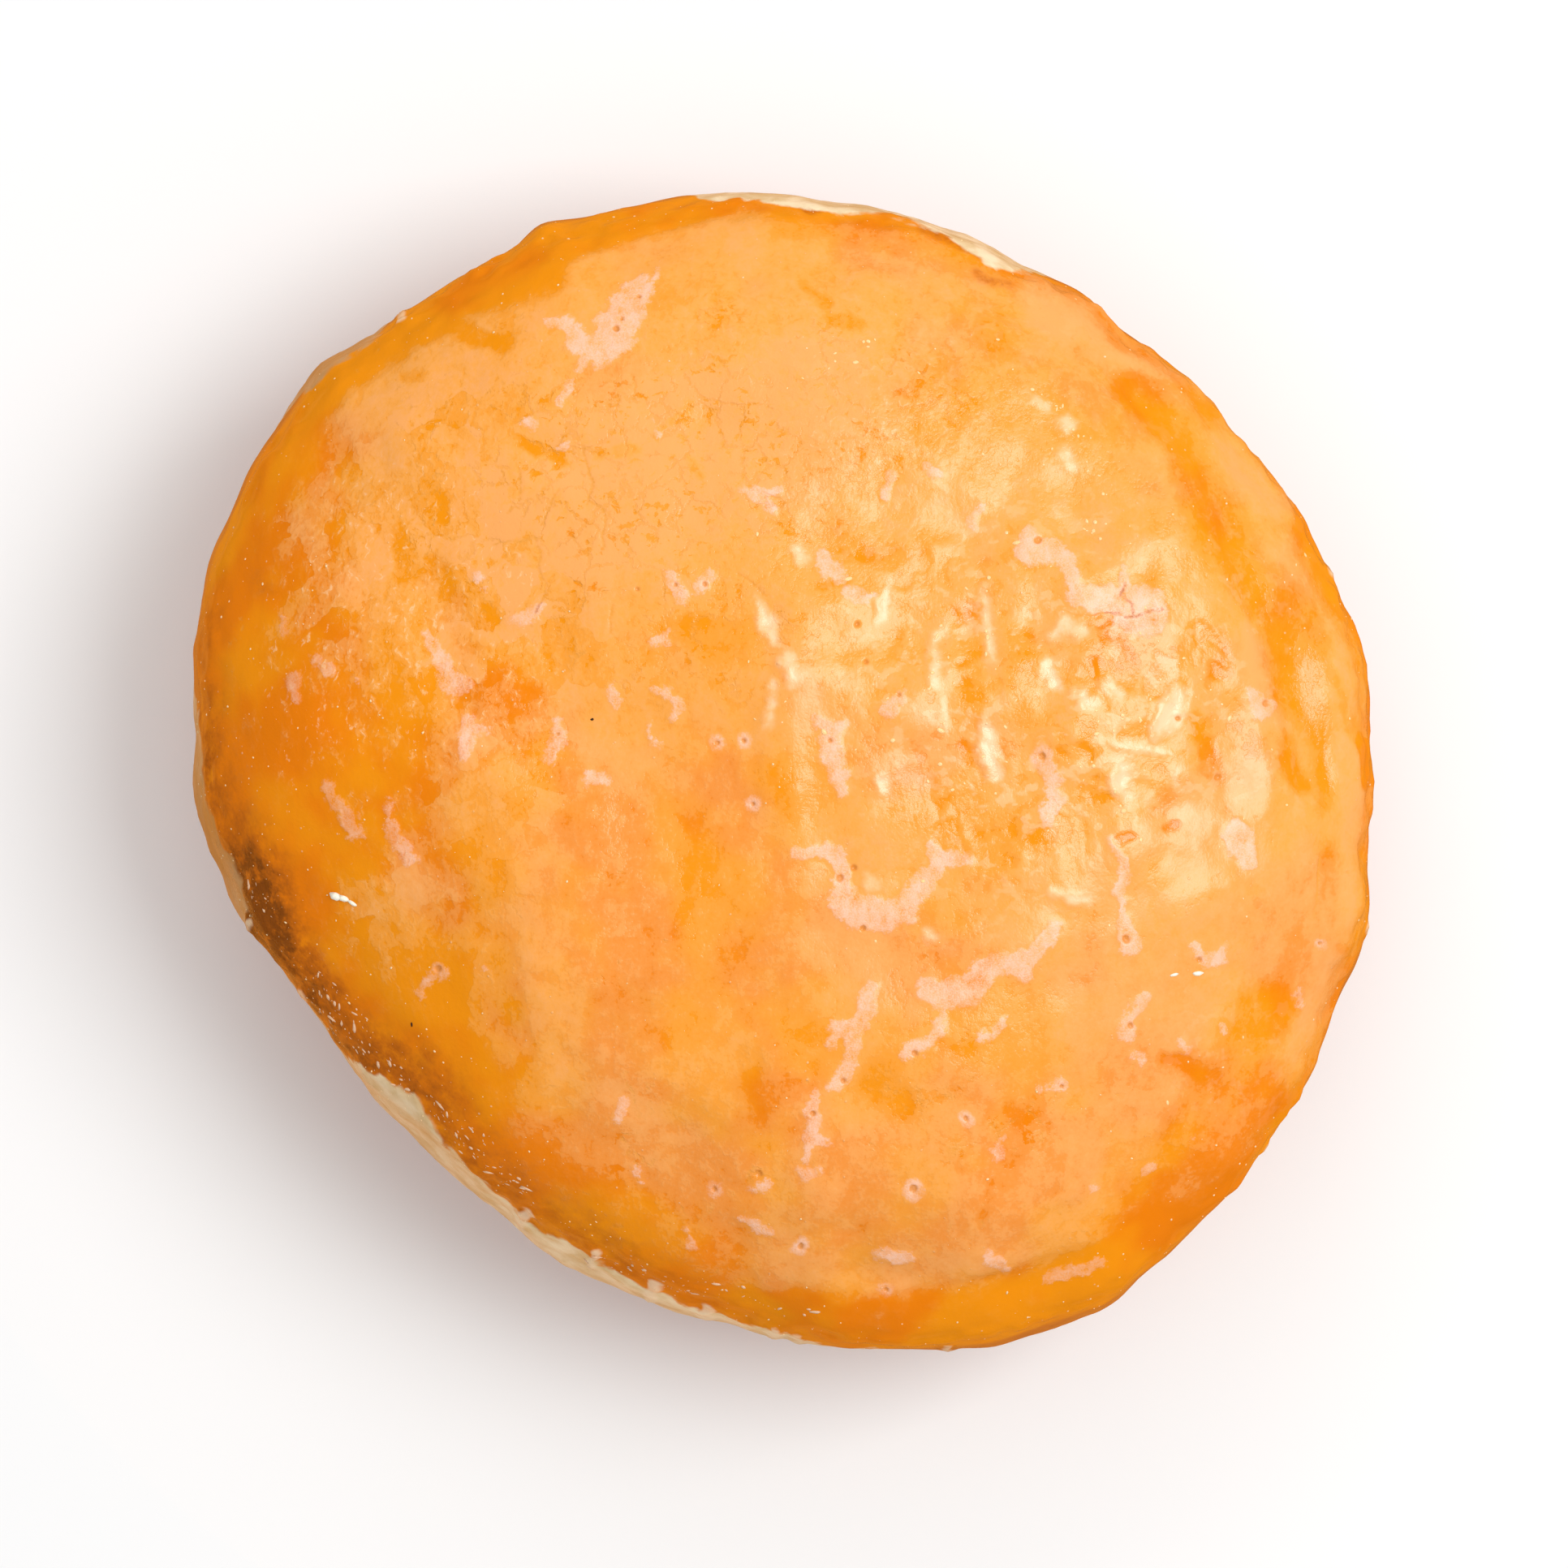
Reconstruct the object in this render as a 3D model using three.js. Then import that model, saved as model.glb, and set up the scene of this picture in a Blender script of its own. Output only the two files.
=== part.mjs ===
// A cream-filled yeast doughnut without a hole, glazed all over. One solid, in millimetres, +Z up,
// standing on its flat foot with the origin under its middle.
// It was fried one side at a time, so it has a browned crust above and below and a pale, slightly
// sunken belt between them. The belt climbs where the dough leaned, and the outline has flats and
// bulges where it met its neighbours in the fryer.

import * as THREE from "three";
import { ImprovedNoise } from "three/addons/math/ImprovedNoise.js";
import { mergeVertices } from "three/addons/utils/BufferGeometryUtils.js";

// Overall size
const WIDTH = 96;
const HEIGHT = 40;
const MEAN_RADIUS = 48.4;

// Side profile: a crowned top, a rounder underside and a flat foot
const BELT_LEVEL = 19;
const CROWN_RISE = HEIGHT - BELT_LEVEL;
const UNDERSIDE_DROP = BELT_LEVEL + 1.3;
const CROWN_FULLNESS = { across: 2.6, up: 2.25 };
const UNDERSIDE_FULLNESS = { across: 2.6, up: 2.3 };
const TOP_LEAN = new THREE.Vector2(1.3, 0.9);

// The flats and bulges fade towards the middle of the crown and of the foot, which stay round
const ROUND_MIDDLE_RADIUS = 0.98 * MEAN_RADIUS;
const LOBE_FADE = 1.5;

// Triangles: rows along each edge of the icosahedron, and the share of them that the crown gets
const ROUND_DETAIL = 23;
const CROWN_SHARE = 0.62;

// Relief of the whole surface
const LUMPS = [
  { what: "swells of the dough", size: 17, height: 1.2, seed: 3.7 },
  { what: "blisters of the crust", size: 7.5, height: 0.5, seed: 11.2 },
];

// Coarser set glaze on the right of the crown
const GLAZE_BUMPS = { size: 4.6, height: 0.75, seed: 5.1 };
const GLAZE_PATCH = { middle: new THREE.Vector2(27, 8), reach: 19 };

// The pale belt, and the upright wrinkles of its soft skin
const BELT_SUNK = 0.4;
const BELT_HALF_HEIGHT = 5;
const BELT_EDGE = { inner: 0.4, outer: 1.3 };
const BELT_WRINKLES = { across: 4, along: 22, height: 0.45, seed: 7.3 };

// Flats and bulges of the outline seen from above: direction and reach in degrees, size in millimetres
const OUTLINE_LOBES = [
  { what: "long flat, front left", at: 217, reach: 26, out: -5.6 },
  { what: "end of the long flat", at: 250, reach: 20, out: -3.2 },
  { what: "flattened front", at: 275, reach: 14, out: -1.7 },
  { what: "bulge, front right", at: 303, reach: 27, out: 2.6 },
  { what: "swell, front right", at: 331, reach: 13, out: 1.4 },
  { what: "right-hand lump", at: 9, reach: 12, out: 1 },
  { what: "flat, back right", at: 52, reach: 24, out: -2.6 },
  { what: "shallow flat, back", at: 95, reach: 22, out: -1.5 },
  { what: "bulge, back left", at: 146, reach: 14, out: 1.3 },
  { what: "nick in the long flat", at: 238, reach: 3, out: -0.5 },
  { what: "corner, front right", at: 302, reach: 4, out: 0.5 },
  { what: "small lump, right", at: 346, reach: 3.5, out: 0.8 },
  { what: "corner of crust, back right", at: 57, reach: 3, out: 0.6 },
  { what: "knob of crust, back", at: 97, reach: 2.2, out: 0.45 },
  { what: "step of crust, back left", at: 113, reach: 2.5, out: 0.5 },
];

// Where the pale belt climbs towards the crown
const BELT_CLIMBS = [
  { what: "front left", at: 243, reach: 26, up: 4.6 },
  { what: "front", at: 272, reach: 15, up: 1.8 },
  { what: "left", at: 188, reach: 16, up: 1.8 },
  { what: "back right", at: 74, reach: 16, up: 2.6 },
  { what: "back left", at: 142, reach: 9, up: 2.4 },
];

// Valleys (out below 0) and ridges (out above 0) in the crown, as curves seen from above
const CROWN_FOLDS = [
  {
    what: "valley along the right shoulder",
    through: [[25, 34], [31.5, 28], [36, 20], [39.5, 12], [42.5, 4], [44.6, -5]],
    halfWidth: 2.3,
    out: -0.85,
  },
  {
    what: "edge of the plateau inside that valley",
    through: [[26, 28], [31, 21], [35.5, 12], [39, 4], [41.3, -4], [41.8, -12]],
    halfWidth: 2,
    out: 0.5,
  },
  {
    what: "rim outside that valley",
    through: [[43.5, 15], [45.5, 8], [46.6, 0], [46.2, -9], [45.2, -16]],
    halfWidth: 1.8,
    out: 0.55,
  },
  {
    what: "valley along the front right shoulder",
    through: [[41, -14], [38.5, -22], [33, -29], [26, -34], [17, -38]],
    halfWidth: 2.4,
    out: -0.4,
  },
  {
    what: "fold along the back shoulder",
    through: [[4, 42.5], [12, 40.5], [19, 37], [25, 32.5]],
    halfWidth: 1.6,
    out: -0.45,
  },
  {
    what: "fold along the front shoulder",
    through: [[4, -39.5], [12, -41], [20, -41], [26, -39]],
    halfWidth: 1.6,
    out: -0.45,
  },
  {
    what: "crease across the upper left",
    through: [[-21, 27], [-16, 24.5], [-9, 26], [-2, 29]],
    halfWidth: 1.6,
    out: -0.4,
  },
  {
    what: "crease down the left of the plateau",
    through: [[-27, 17], [-26, 9], [-22, 3], [-15, 1]],
    halfWidth: 1.8,
    out: -0.4,
  },
  {
    what: "ridge of set glaze in the middle",
    through: [[2, 14], [1, 6], [0.5, -2], [4, -10], [12, -10], [17, -6]],
    halfWidth: 1.5,
    out: 0.4,
  },
];
const FOLD_END_FADE = 0.15;
const FOLD_START = { above: 1, full: 5 };

const noise = new ImprovedNoise();
const UP = new THREE.Vector3(0, 0, 1);

function clamp01(value) {
  return Math.min(1, Math.max(0, value));
}

function smoothstep(low, high, value) {
  const t = clamp01((value - low) / (high - low));
  return t * t * (3 - 2 * t);
}

function degreesOf(turn) {
  return (THREE.MathUtils.radToDeg(turn) + 360) % 360;
}

// The sum of the lobes' sizes in one direction; each falls away smoothly to both sides
function lobesAt(degrees, lobes, size) {
  return lobes.reduce((sum, lobe) => {
    const apart = ((degrees - lobe.at + 540) % 360) - 180;
    return sum + lobe[size] * Math.exp(-((apart / lobe.reach) ** 2));
  }, 0);
}

function outlineRadius(degrees) {
  return MEAN_RADIUS + lobesAt(degrees, OUTLINE_LOBES, "out");
}

function beltLevel(degrees) {
  return BELT_LEVEL + lobesAt(degrees, BELT_CLIMBS, "up");
}

// The side profile at a height angle from -90 degrees (underside) to +90 degrees (crown):
// the share of the outline's radius, and the level above the foot
function profileAt(heightAngle) {
  const above = heightAngle >= 0;
  const { across, up } = above ? CROWN_FULLNESS : UNDERSIDE_FULLNESS;
  const reach = above ? CROWN_RISE : UNDERSIDE_DROP;
  const share = Math.cos(heightAngle) ** (2 / across);
  const rise = Math.abs(Math.sin(heightAngle)) ** (2 / up) * reach;
  return { share, level: BELT_LEVEL + (above ? rise : -rise) };
}

// Height angles at equal steps of surface area, so that the triangles come out even in size
function evenHeightAngles(steps) {
  const angles = [];
  const areas = [0];
  for (let i = 0; i <= steps; i++) angles.push(-Math.PI / 2 + (Math.PI * i) / steps);
  for (let i = 1; i <= steps; i++) {
    const a = profileAt(angles[i - 1]);
    const b = profileAt(angles[i]);
    const slant = Math.hypot((b.share - a.share) * MEAN_RADIUS, b.level - a.level);
    areas.push(areas[i - 1] + slant * (a.share + b.share));
  }
  const belt = areas[steps / 2];
  const total = areas[steps];
  const shares = areas.map((area) =>
    area < belt
      ? ((1 - CROWN_SHARE) * area) / belt
      : 1 - (CROWN_SHARE * (total - area)) / (total - belt),
  );
  return { angles, shares };
}

const PROFILE_STEPS = 720;
const even = evenHeightAngles(PROFILE_STEPS);

function heightAngleAt(share) {
  let low = 0;
  let high = PROFILE_STEPS;
  while (high - low > 1) {
    const middle = (low + high) >> 1;
    if (even.shares[middle] <= share) low = middle;
    else high = middle;
  }
  const t = (share - even.shares[low]) / (even.shares[high] - even.shares[low]);
  return THREE.MathUtils.lerp(even.angles[low], even.angles[high], clamp01(t));
}

// The dough before any lumps, creases or belt
function smoothPoint(turn, heightAngle) {
  const { share, level } = profileAt(heightAngle);
  const outline = outlineRadius(degreesOf(turn));
  const radius = share * THREE.MathUtils.lerp(ROUND_MIDDLE_RADIUS, outline, share ** LOBE_FADE);
  const lean = Math.max(0, level - BELT_LEVEL) / CROWN_RISE;
  return new THREE.Vector3(
    radius * Math.cos(turn) + TOP_LEAN.x * lean,
    radius * Math.sin(turn) + TOP_LEAN.y * lean,
    level,
  );
}

// From the slopes along the turn and up the profile; straight up or down at the two middles
function smoothNormal(turn, heightAngle) {
  const step = 0.004;
  const round = smoothPoint(turn + step, heightAngle).sub(smoothPoint(turn - step, heightAngle));
  const rising = smoothPoint(turn, heightAngle + step).sub(smoothPoint(turn, heightAngle - step));
  const normal = round.cross(rising);
  return normal.lengthSq() > 1e-12 ? normal.normalize() : UP.clone().multiplyScalar(Math.sign(heightAngle));
}

// Each fold as points along a smooth curve
const FOLD_RUNS = 24;
const folds = CROWN_FOLDS.map(({ through, halfWidth, out }) => {
  const curve = new THREE.SplineCurve(through.map(([x, y]) => new THREE.Vector2(x, y)));
  return { points: curve.getPoints(FOLD_RUNS), halfWidth, out };
});

function foldsAt(point) {
  const flat = new THREE.Vector2(point.x, point.y);
  let sum = 0;
  for (const { points, halfWidth, out } of folds) {
    const distances = points.map((p) => p.distanceTo(flat));
    const nearest = Math.min(...distances);
    const along = distances.indexOf(nearest) / FOLD_RUNS;
    const inside = smoothstep(0, FOLD_END_FADE, along) * smoothstep(0, FOLD_END_FADE, 1 - along);
    sum += out * inside * Math.exp(-((nearest / halfWidth) ** 2));
  }
  return sum;
}

function lumpsAt(point, { size, height, seed }) {
  return height * noise.noise(point.x / size + seed, point.y / size - seed, point.z / size + seed / 2);
}

function glazeBumpsAt(point) {
  const away = GLAZE_PATCH.middle.distanceTo(new THREE.Vector2(point.x, point.y));
  return lumpsAt(point, GLAZE_BUMPS) * Math.exp(-((away / GLAZE_PATCH.reach) ** 2));
}

function beltAt(point, turn) {
  const { across, along, height, seed } = BELT_WRINKLES;
  const fromMiddle = Math.abs(point.z - beltLevel(degreesOf(turn))) / BELT_HALF_HEIGHT;
  const inBelt = 1 - smoothstep(BELT_EDGE.inner, BELT_EDGE.outer, fromMiddle);
  const wrinkles = height * noise.noise(point.x / across, point.y / across, point.z / along + seed);
  return inBelt * (wrinkles - BELT_SUNK);
}

// How far the real surface stands out from the smooth dough
function reliefAt(point, turn) {
  const onCrown = smoothstep(BELT_LEVEL + FOLD_START.above, BELT_LEVEL + FOLD_START.full, point.z);
  const lumps = LUMPS.reduce((sum, lump) => sum + lumpsAt(point, lump), 0);
  return lumps + beltAt(point, turn) + onCrown * (foldsAt(point) + glazeBumpsAt(point));
}

function doughnutGeometry() {
  const ball = new THREE.IcosahedronGeometry(1, ROUND_DETAIL);
  ball.deleteAttribute("normal");
  ball.deleteAttribute("uv");
  const geometry = mergeVertices(ball, 1e-6);
  const position = geometry.getAttribute("position");
  const direction = new THREE.Vector3();
  for (let i = 0; i < position.count; i++) {
    direction.fromBufferAttribute(position, i).normalize();
    const turn = Math.atan2(direction.y, direction.x);
    const heightAngle = heightAngleAt((1 + direction.z) / 2);
    const point = smoothPoint(turn, heightAngle);
    point.addScaledVector(smoothNormal(turn, heightAngle), reliefAt(point, turn));
    position.setXYZ(i, point.x, point.y, Math.max(0, point.z));
  }
  geometry.computeBoundingBox();
  const { min, max } = geometry.boundingBox;
  const across = WIDTH / (max.x - min.x);
  geometry.translate(-(min.x + max.x) / 2, -(min.y + max.y) / 2, 0);
  geometry.scale(across, across, HEIGHT / max.z);
  geometry.computeVertexNormals();
  return geometry;
}

const glazedCrust = new THREE.MeshStandardMaterial({
  name: "glazed_crust",
  color: new THREE.Color().setRGB(0.97, 0.64, 0.27, THREE.SRGBColorSpace),
  roughness: 0.28,
  metalness: 0,
});

const doughnut = new THREE.Mesh(doughnutGeometry(), glazedCrust);
doughnut.name = "doughnut";

const part = new THREE.Group();
part.add(doughnut);

export default part;
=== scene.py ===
# A cream-filled yeast doughnut under set sugar glaze, seen from straight above in soft studio light.
# The CAD solid gives its form. Its surface is made finer here, finest at the flakes, pinholes and lumps of
# the glaze, and the relief of glaze and crust is moved into the mesh. What the material has to know about a
# place, such as how far the nearest flake is, is kept on the mesh as attributes.
# Lengths are in millimetres until a mesh is made, with +X to the right and +Y up in the camera's view.

import math
from functools import partial, reduce

import bmesh
import bpy
import numpy as np
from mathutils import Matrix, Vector, noise
from mathutils.bvhtree import BVHTree


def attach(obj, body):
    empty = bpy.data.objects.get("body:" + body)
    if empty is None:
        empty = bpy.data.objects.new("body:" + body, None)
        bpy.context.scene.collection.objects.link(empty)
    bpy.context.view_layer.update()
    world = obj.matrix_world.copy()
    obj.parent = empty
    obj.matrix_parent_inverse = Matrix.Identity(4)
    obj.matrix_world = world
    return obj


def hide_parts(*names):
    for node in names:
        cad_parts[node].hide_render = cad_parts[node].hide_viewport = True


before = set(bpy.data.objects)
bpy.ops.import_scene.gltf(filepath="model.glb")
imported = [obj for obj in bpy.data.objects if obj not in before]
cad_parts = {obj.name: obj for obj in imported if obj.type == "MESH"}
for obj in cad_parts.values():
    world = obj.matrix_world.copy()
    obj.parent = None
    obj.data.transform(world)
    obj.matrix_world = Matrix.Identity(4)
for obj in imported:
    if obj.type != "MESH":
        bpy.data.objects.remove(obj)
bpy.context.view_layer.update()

MM = 0.001

# Camera and lights. The frame's width is taken at the level where the doughnut is widest.
FRAME_WIDTH = 126.9
FRAME_MIDDLE = (0.13, -1.12)
CAMERA_HEIGHT = 560
WIDEST_LEVEL = 20
SENSOR_WIDTH = 36
KEY = {"from_zenith": 31, "turn": 13, "distance": 800, "size": 410, "watts": 3.48}
FILL = {"from_zenith": 55, "turn": 100, "distance": 800, "size": 500, "watts": 1.0}
WORLD_LIGHT = 0.69
NEAR_CLIP = 10
FLOOR_RADIUS = 1500
CARD_RADIUS = 80
CARD_LEVEL = 0.05
CARD_STRENGTH = 0.75
DISC_SIDES = 96

# The pale belt, where the dough was above the fat on both sides: how wide it shows from above, as turns in
# degrees and widths. Where that is below zero, the crust reaches down past the widest level. Then come the
# level of its lower edge, and how far it bulges out for each millimetre that shows.
BELT_SHOWS = [
    (60, -0.4), (63.5, 0.7), (67, 1.4), (70.5, 1.5), (74.5, 1.1), (79, 1.2), (90, 1.2), (97, 1),
    (100, -0.4), (130, -0.3), (134, 1.1), (141, 1.1), (146, -0.4), (170, -0.3), (173, 0.4), (177, 1),
    (182, 1.5), (189, 2), (193, 1.8), (196, 1), (198.5, 0), (201, -0.4), (211, -0.3), (212.7, 0.4),
    (215, 1.4), (217.5, 2.2), (222.5, 3), (227.5, 2.3), (235, 2), (240.5, 1.4), (245.5, 1.9), (257, 1.5),
    (269, 0.8), (277, 0.4), (284, -0.4),
]
BELT_LOWEST = 13.5
BELT_BULGES = 0.12

# Where amber glaze covers the belt, and where the clear glaze is more golden: turn, reach and amount
AMBER = [(187, 15, 1.0), (138, 10, 0.9), (222, 14, 0.2)]
GOLDEN = [(120, 25, 0.7)]

# How much the crust beside the belt is browned, as turns and amounts, and how far inwards that fades
BROWNED = [
    (150, 0), (168, 0.15), (180, 0.28), (187, 0.46), (192, 0.75), (198, 0.94), (205, 0.86), (211, 0.64),
    (217, 0.48), (224, 0.39), (232, 0.34), (245, 0.27), (258, 0.2), (272, 0.12), (285, 0),
]
BROWNED_REACH = 7.5

# Swells and dents of the rim, with their turn, reach and height, and how far up and down they fade
RIM_SWELLS = [
    (33, 5, -0.7), (74, 10, 0.85), (84, 3, -0.3), (96, 3, -0.4), (108, 6, 0.6), (114, 2.5, 0.5),
    (130, 10, 0.6), (139, 3, 0.4), (167.5, 5, 0.8), (196.5, 4, 0.6), (217, 5, 0.4), (233, 8, -0.3),
    (266, 7, -0.6), (274.5, 3, 0.5), (324, 5, -0.6), (341.5, 4, 0.8), (353, 4, -0.4),
]
RIM_HEIGHT = 9

# A stroke is a line of points on the crown, as the camera sees them at the widest level: x, y and half
# width. Each of these strokes thins the milky film: by how much, over how many millimetres it fades, and
# the stroke.
CLEAR = [
    # Left shoulder and what lies inwards of it
    (1.25, 6.5, [(-40, 27, 1.5), (-44, 20, 2), (-43, 10, 3), (-42, 0, 5), (-41, -9, 5), (-36, -18, 4.5),
        (-29, -26, 4)]),
    (0.65, 4, [(-36, 18, 1), (-35.5, 8, 2.5), (-33, 2, 2.5), (-31, -4, 2)]),
    (0.45, 3, [(-27, 6, 1.5), (-30, 5, 2), (-29, -6, 1.5)]),
    (0.25, 3, [(-20, 4, 2), (-18, -2, 2)]),
    # Front, inner part, and the upper right
    (0.4, 3, [(-20, -28, 2.5), (-17, -30, 2)]),
    (0.15, 4, [(-12, -23, 3), (8, -25, 5), (16, -25, 5)]),
    (0.35, 4, [(16, 31, 3), (24, 28, 3)]),
    # Front left and back left shoulders, with a tongue inwards
    (0.7, 4, [(-26, -31, 2.5), (-15, -37, 2.5), (-5, -41, 2)]),
    (1.2, 1.2, [(-40, 29, 1.6), (-33, 35, 2.2), (-26, 39.5, 2.4), (-17, 43, 1.6), (-8, 45.9, 1.1),
        (-5, 46.5, 0.8)]),
    (0.7, 1, [(-24, 38.6, 1.5), (-18.5, 39.8, 0.8)]),
    # Front and front right
    (0.2, 5, [(-12, -33, 3), (2, -36, 3), (16, -34, 3)]),
    (1.1, 1.4, [(-3, -44, 1.5), (8, -45, 2.2), (18, -44, 2.6), (27, -40, 2.2), (31, -37, 1.5)]),
    (0.7, 2, [(29, -37, 3), (34, -31, 3.5), (38, -25, 3), (39, -20, 2)]),
    # Back shoulder, and folds, valley and groove at the right edge
    (0.4, 1, [(0, 44.3, 0.8), (8, 43, 0.8), (15, 40.4, 0.8)]),
    (0.7, 0.5, [(44.4, 8, 0.2), (45.4, 5, 0.4), (46.3, 2.6, 0.4)]),
    (0.68, 0.9, [(28, 31, 1.2), (32.5, 28.5, 2.2), (33.5, 23, 1.4), (37, 16.5, 1.8), (40.9, 11.6, 2.3),
        (41.7, 9.3, 2.2), (42.2, 6.1, 1.4), (42.9, 4.5, 1.1), (43.1, 2.9, 0.6), (43.7, 1.2, 0.3),
        (43.7, -3.3, 0.3)]),
    (0.5, 0.8, [(44.3, -7, 0.8), (44.2, -13, 0.8)]),
    (2.6, 0.5, [(47.2, 1.7, 0.7), (47.2, -0.3, 0.7)]),
    (0.5, 0.8, [(42.2, -13.2, 0.5), (41.8, -15.5, 1.2), (40.6, -18.3, 1.6)]),
    # Pits right of the middle
    (0.6, 0.5, [(24.3, 3.2, 0.8), (24.9, 1.6, 0.9)]),
    (0.6, 0.4, [(23.8, -1.9, 0.4), (25.3, -2.6, 0.5), (26.6, -2.2, 0.3)]),
    (0.6, 0.4, [(30.4, -0.1, 0.5), (30.8, -1.8, 0.5)]),
    (0.5, 0.4, [(25.5, 8.8, 0.5), (26.1, 7.6, 0.7)]),
    # Streaks, spots and pools at the upper left
    (0.9, 0.5, [(-27, 35.6, 0.4), (-25, 35.3, 0.7), (-22.6, 34.2, 0.5)]),
    (0.6, 0.4, [(-30.2, 32, 0.5), (-29.5, 31.9, 0.4)]),
    (1.1, 0.3, [(-21.2, 27.3, 0.25), (-19.6, 26.2, 0.6), (-17.6, 25.1, 0.35)]),
    (0.9, 0.4, [(-15, 25.2, 0.3), (-13, 25.7, 0.5), (-11.6, 26, 0.3)]),
    (0.8, 0.5, [(-28.1, 22, 0.4), (-27.6, 19.8, 0.3)]),
    (0.9, 0.5, [(-30.6, 19.2, 0.5), (-30.5, 15.8, 0.7)]),
    (0.7, 0.6, [(-28.4, 16.4, 0.7), (-27.2, 14.9, 0.6)]),
    (0.45, 0.5, [(-24, 17.6, 0.9), (-21, 17.2, 1.2), (-22.5, 15.8, 0.8)]),
    (0.5, 0.6, [(-26.2, 10.8, 0.7), (-24.2, 8.6, 0.8), (-22.5, 6.8, 1.4), (-20.2, 5.8, 1)]),
    (0.7, 0.4, [(-24.1, 13, 0.4), (-23.2, 11.5, 0.4)]),
    (0.7, 0.3, [(-19.1, 9.5, 0.3), (-18.5, 8.2, 0.3)]),
    # Between there and the middle
    (0.6, 0.5, [(-10, 11, 0.3), (-8, 12, 0.45), (-6.2, 12.3, 0.3)]),
    (0.4, 1, [(-6, 11, 1.5), (-3, 10, 1.5)]),
    (0.8, 0.3, [(-7.8, 25, 0.2), (-6.9, 23.6, 0.25)]),
    (0.8, 0.3, [(-8.8, 28.2, 0.2), (-7.4, 29.3, 0.4)]),
    (0.4, 0.8, [(-6.8, 28, 0.8), (-4.4, 29, 0.8)]),
    # Back
    (0.7, 0.3, [(1.4, 39.8, 0.2), (3.6, 37.8, 0.4)]),
    (0.8, 0.3, [(3.4, 36.6, 0.3), (5, 36.2, 0.6), (6.2, 35.6, 0.3)]),
    (0.4, 1.5, [(14.5, 36.6, 1.2), (17.7, 35, 1.2)]),
    # Above the middle
    (0.5, 1, [(4.5, 18, 0.9), (8, 17.6, 1.1), (11, 17.2, 0.8)]),
    (0.8, 0.4, [(6.6, 17.4, 0.4), (7.2, 17.2, 0.4)]),
    (0.8, 0.4, [(3.2, 15, 0.4), (5.3, 14.8, 0.4)]),
    # Between the ridges and among the pits at the right
    (0.6, 0.8, [(14.8, 13, 0.9), (14.9, 8.6, 1), (15, 4.2, 0.8)]),
    (0.8, 0.3, [(14.7, 1.9, 0.4), (15.7, 1.3, 0.3)]),
    (0.5, 0.8, [(19.4, 10.8, 1), (19.8, 5, 1.2)]),
    (0.9, 0.3, [(20.8, -5.3, 0.6), (21.8, -5.2, 0.6)]),
    (0.9, 0.3, [(27.3, -6, 0.3), (28, -5.4, 0.3)]),
    (0.9, 0.3, [(31.2, -4.6, 0.4), (32.3, -4.4, 0.4)]),
    (0.6, 0.6, [(33.8, 11, 1), (35.2, 8.4, 1)]),
    (0.6, 0.6, [(27.2, 10.8, 0.9), (28.2, 8, 1)]),
    (0.6, 0.6, [(33.4, 4, 0.9), (34.4, 1.5, 0.9), (35.2, -0.5, 0.7)]),
    (0.8, 0.5, [(40.8, 0.8, 0.6), (41.8, -1.2, 0.6)]),
    # Mottles and spots in the middle and at the front
    (0.4, 1.5, [(0.4, -0.5, 1.5), (1.6, -3.2, 1.2)]),
    (0.35, 1.5, [(10, -1.5, 2), (17, -5.5, 2.5)]),
    (0.35, 0.8, [(-2.2, -25.4, 1), (-1.4, -27.2, 0.8)]),
    (0.25, 2, [(-3, -17, 2), (2, -22, 2.2), (-1, -29, 2)]),
    (0.5, 1, [(7.5, -25.2, 1.1), (10, -27.2, 1)]),
    (0.5, 0.4, [(13.3, -22.3, 0.6), (14.7, -22.9, 0.6)]),
    (0.4, 0.6, [(18.8, -27.9, 0.7), (20.3, -27.8, 0.6)]),
    (0.6, 0.4, [(16.8, -33.2, 0.3), (16.1, -36.2, 0.4)]),
    (0.45, 0.4, [(23.3, -16.6, 0.5), (24.8, -17.2, 0.4)]),
    (0.7, 0.5, [(31, -23.6, 0.6), (33, -24, 0.7), (33.8, -25, 0.4)]),
    # Lower plateau
    (0.45, 2, [(-25, -8, 2.5), (-25.5, -15, 3), (-23, -23, 3)]),
    (0.3, 3, [(-12, -8, 6), (-10, -16, 6)]),
    (0.25, 1.5, [(-3.5, -4, 4.5), (-3.5, -12, 4.5)]),
]

# The same the other way round, where the film stays thick
THICK = [
    # Right and back right edges
    (0.4, 1.5, [(46, 9, 1.5), (47, -6, 2), (45, -15, 2), (42, -24, 2)]),
    (0.6, 1.5, [(22, 38, 2), (32, 33, 2), (40, 22, 1.5)]),
    # Plateau, and the crest by the valley, paler partly from thick glaze and partly as painted sheen
    (0.55, 4, [(-22, 20, 5), (-10, 24, 7), (2, 30, 5)]),
    (0.4, 0.8, [(37.4, 11.4, 0.5), (38, 8.2, 0.8), (38.8, 5.8, 1.1), (40.4, 3.4, 0.6)]),
    (0.15, 3, [(34, -5, 5), (32, -13, 6), (24, -17, 5)]),
]

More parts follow.
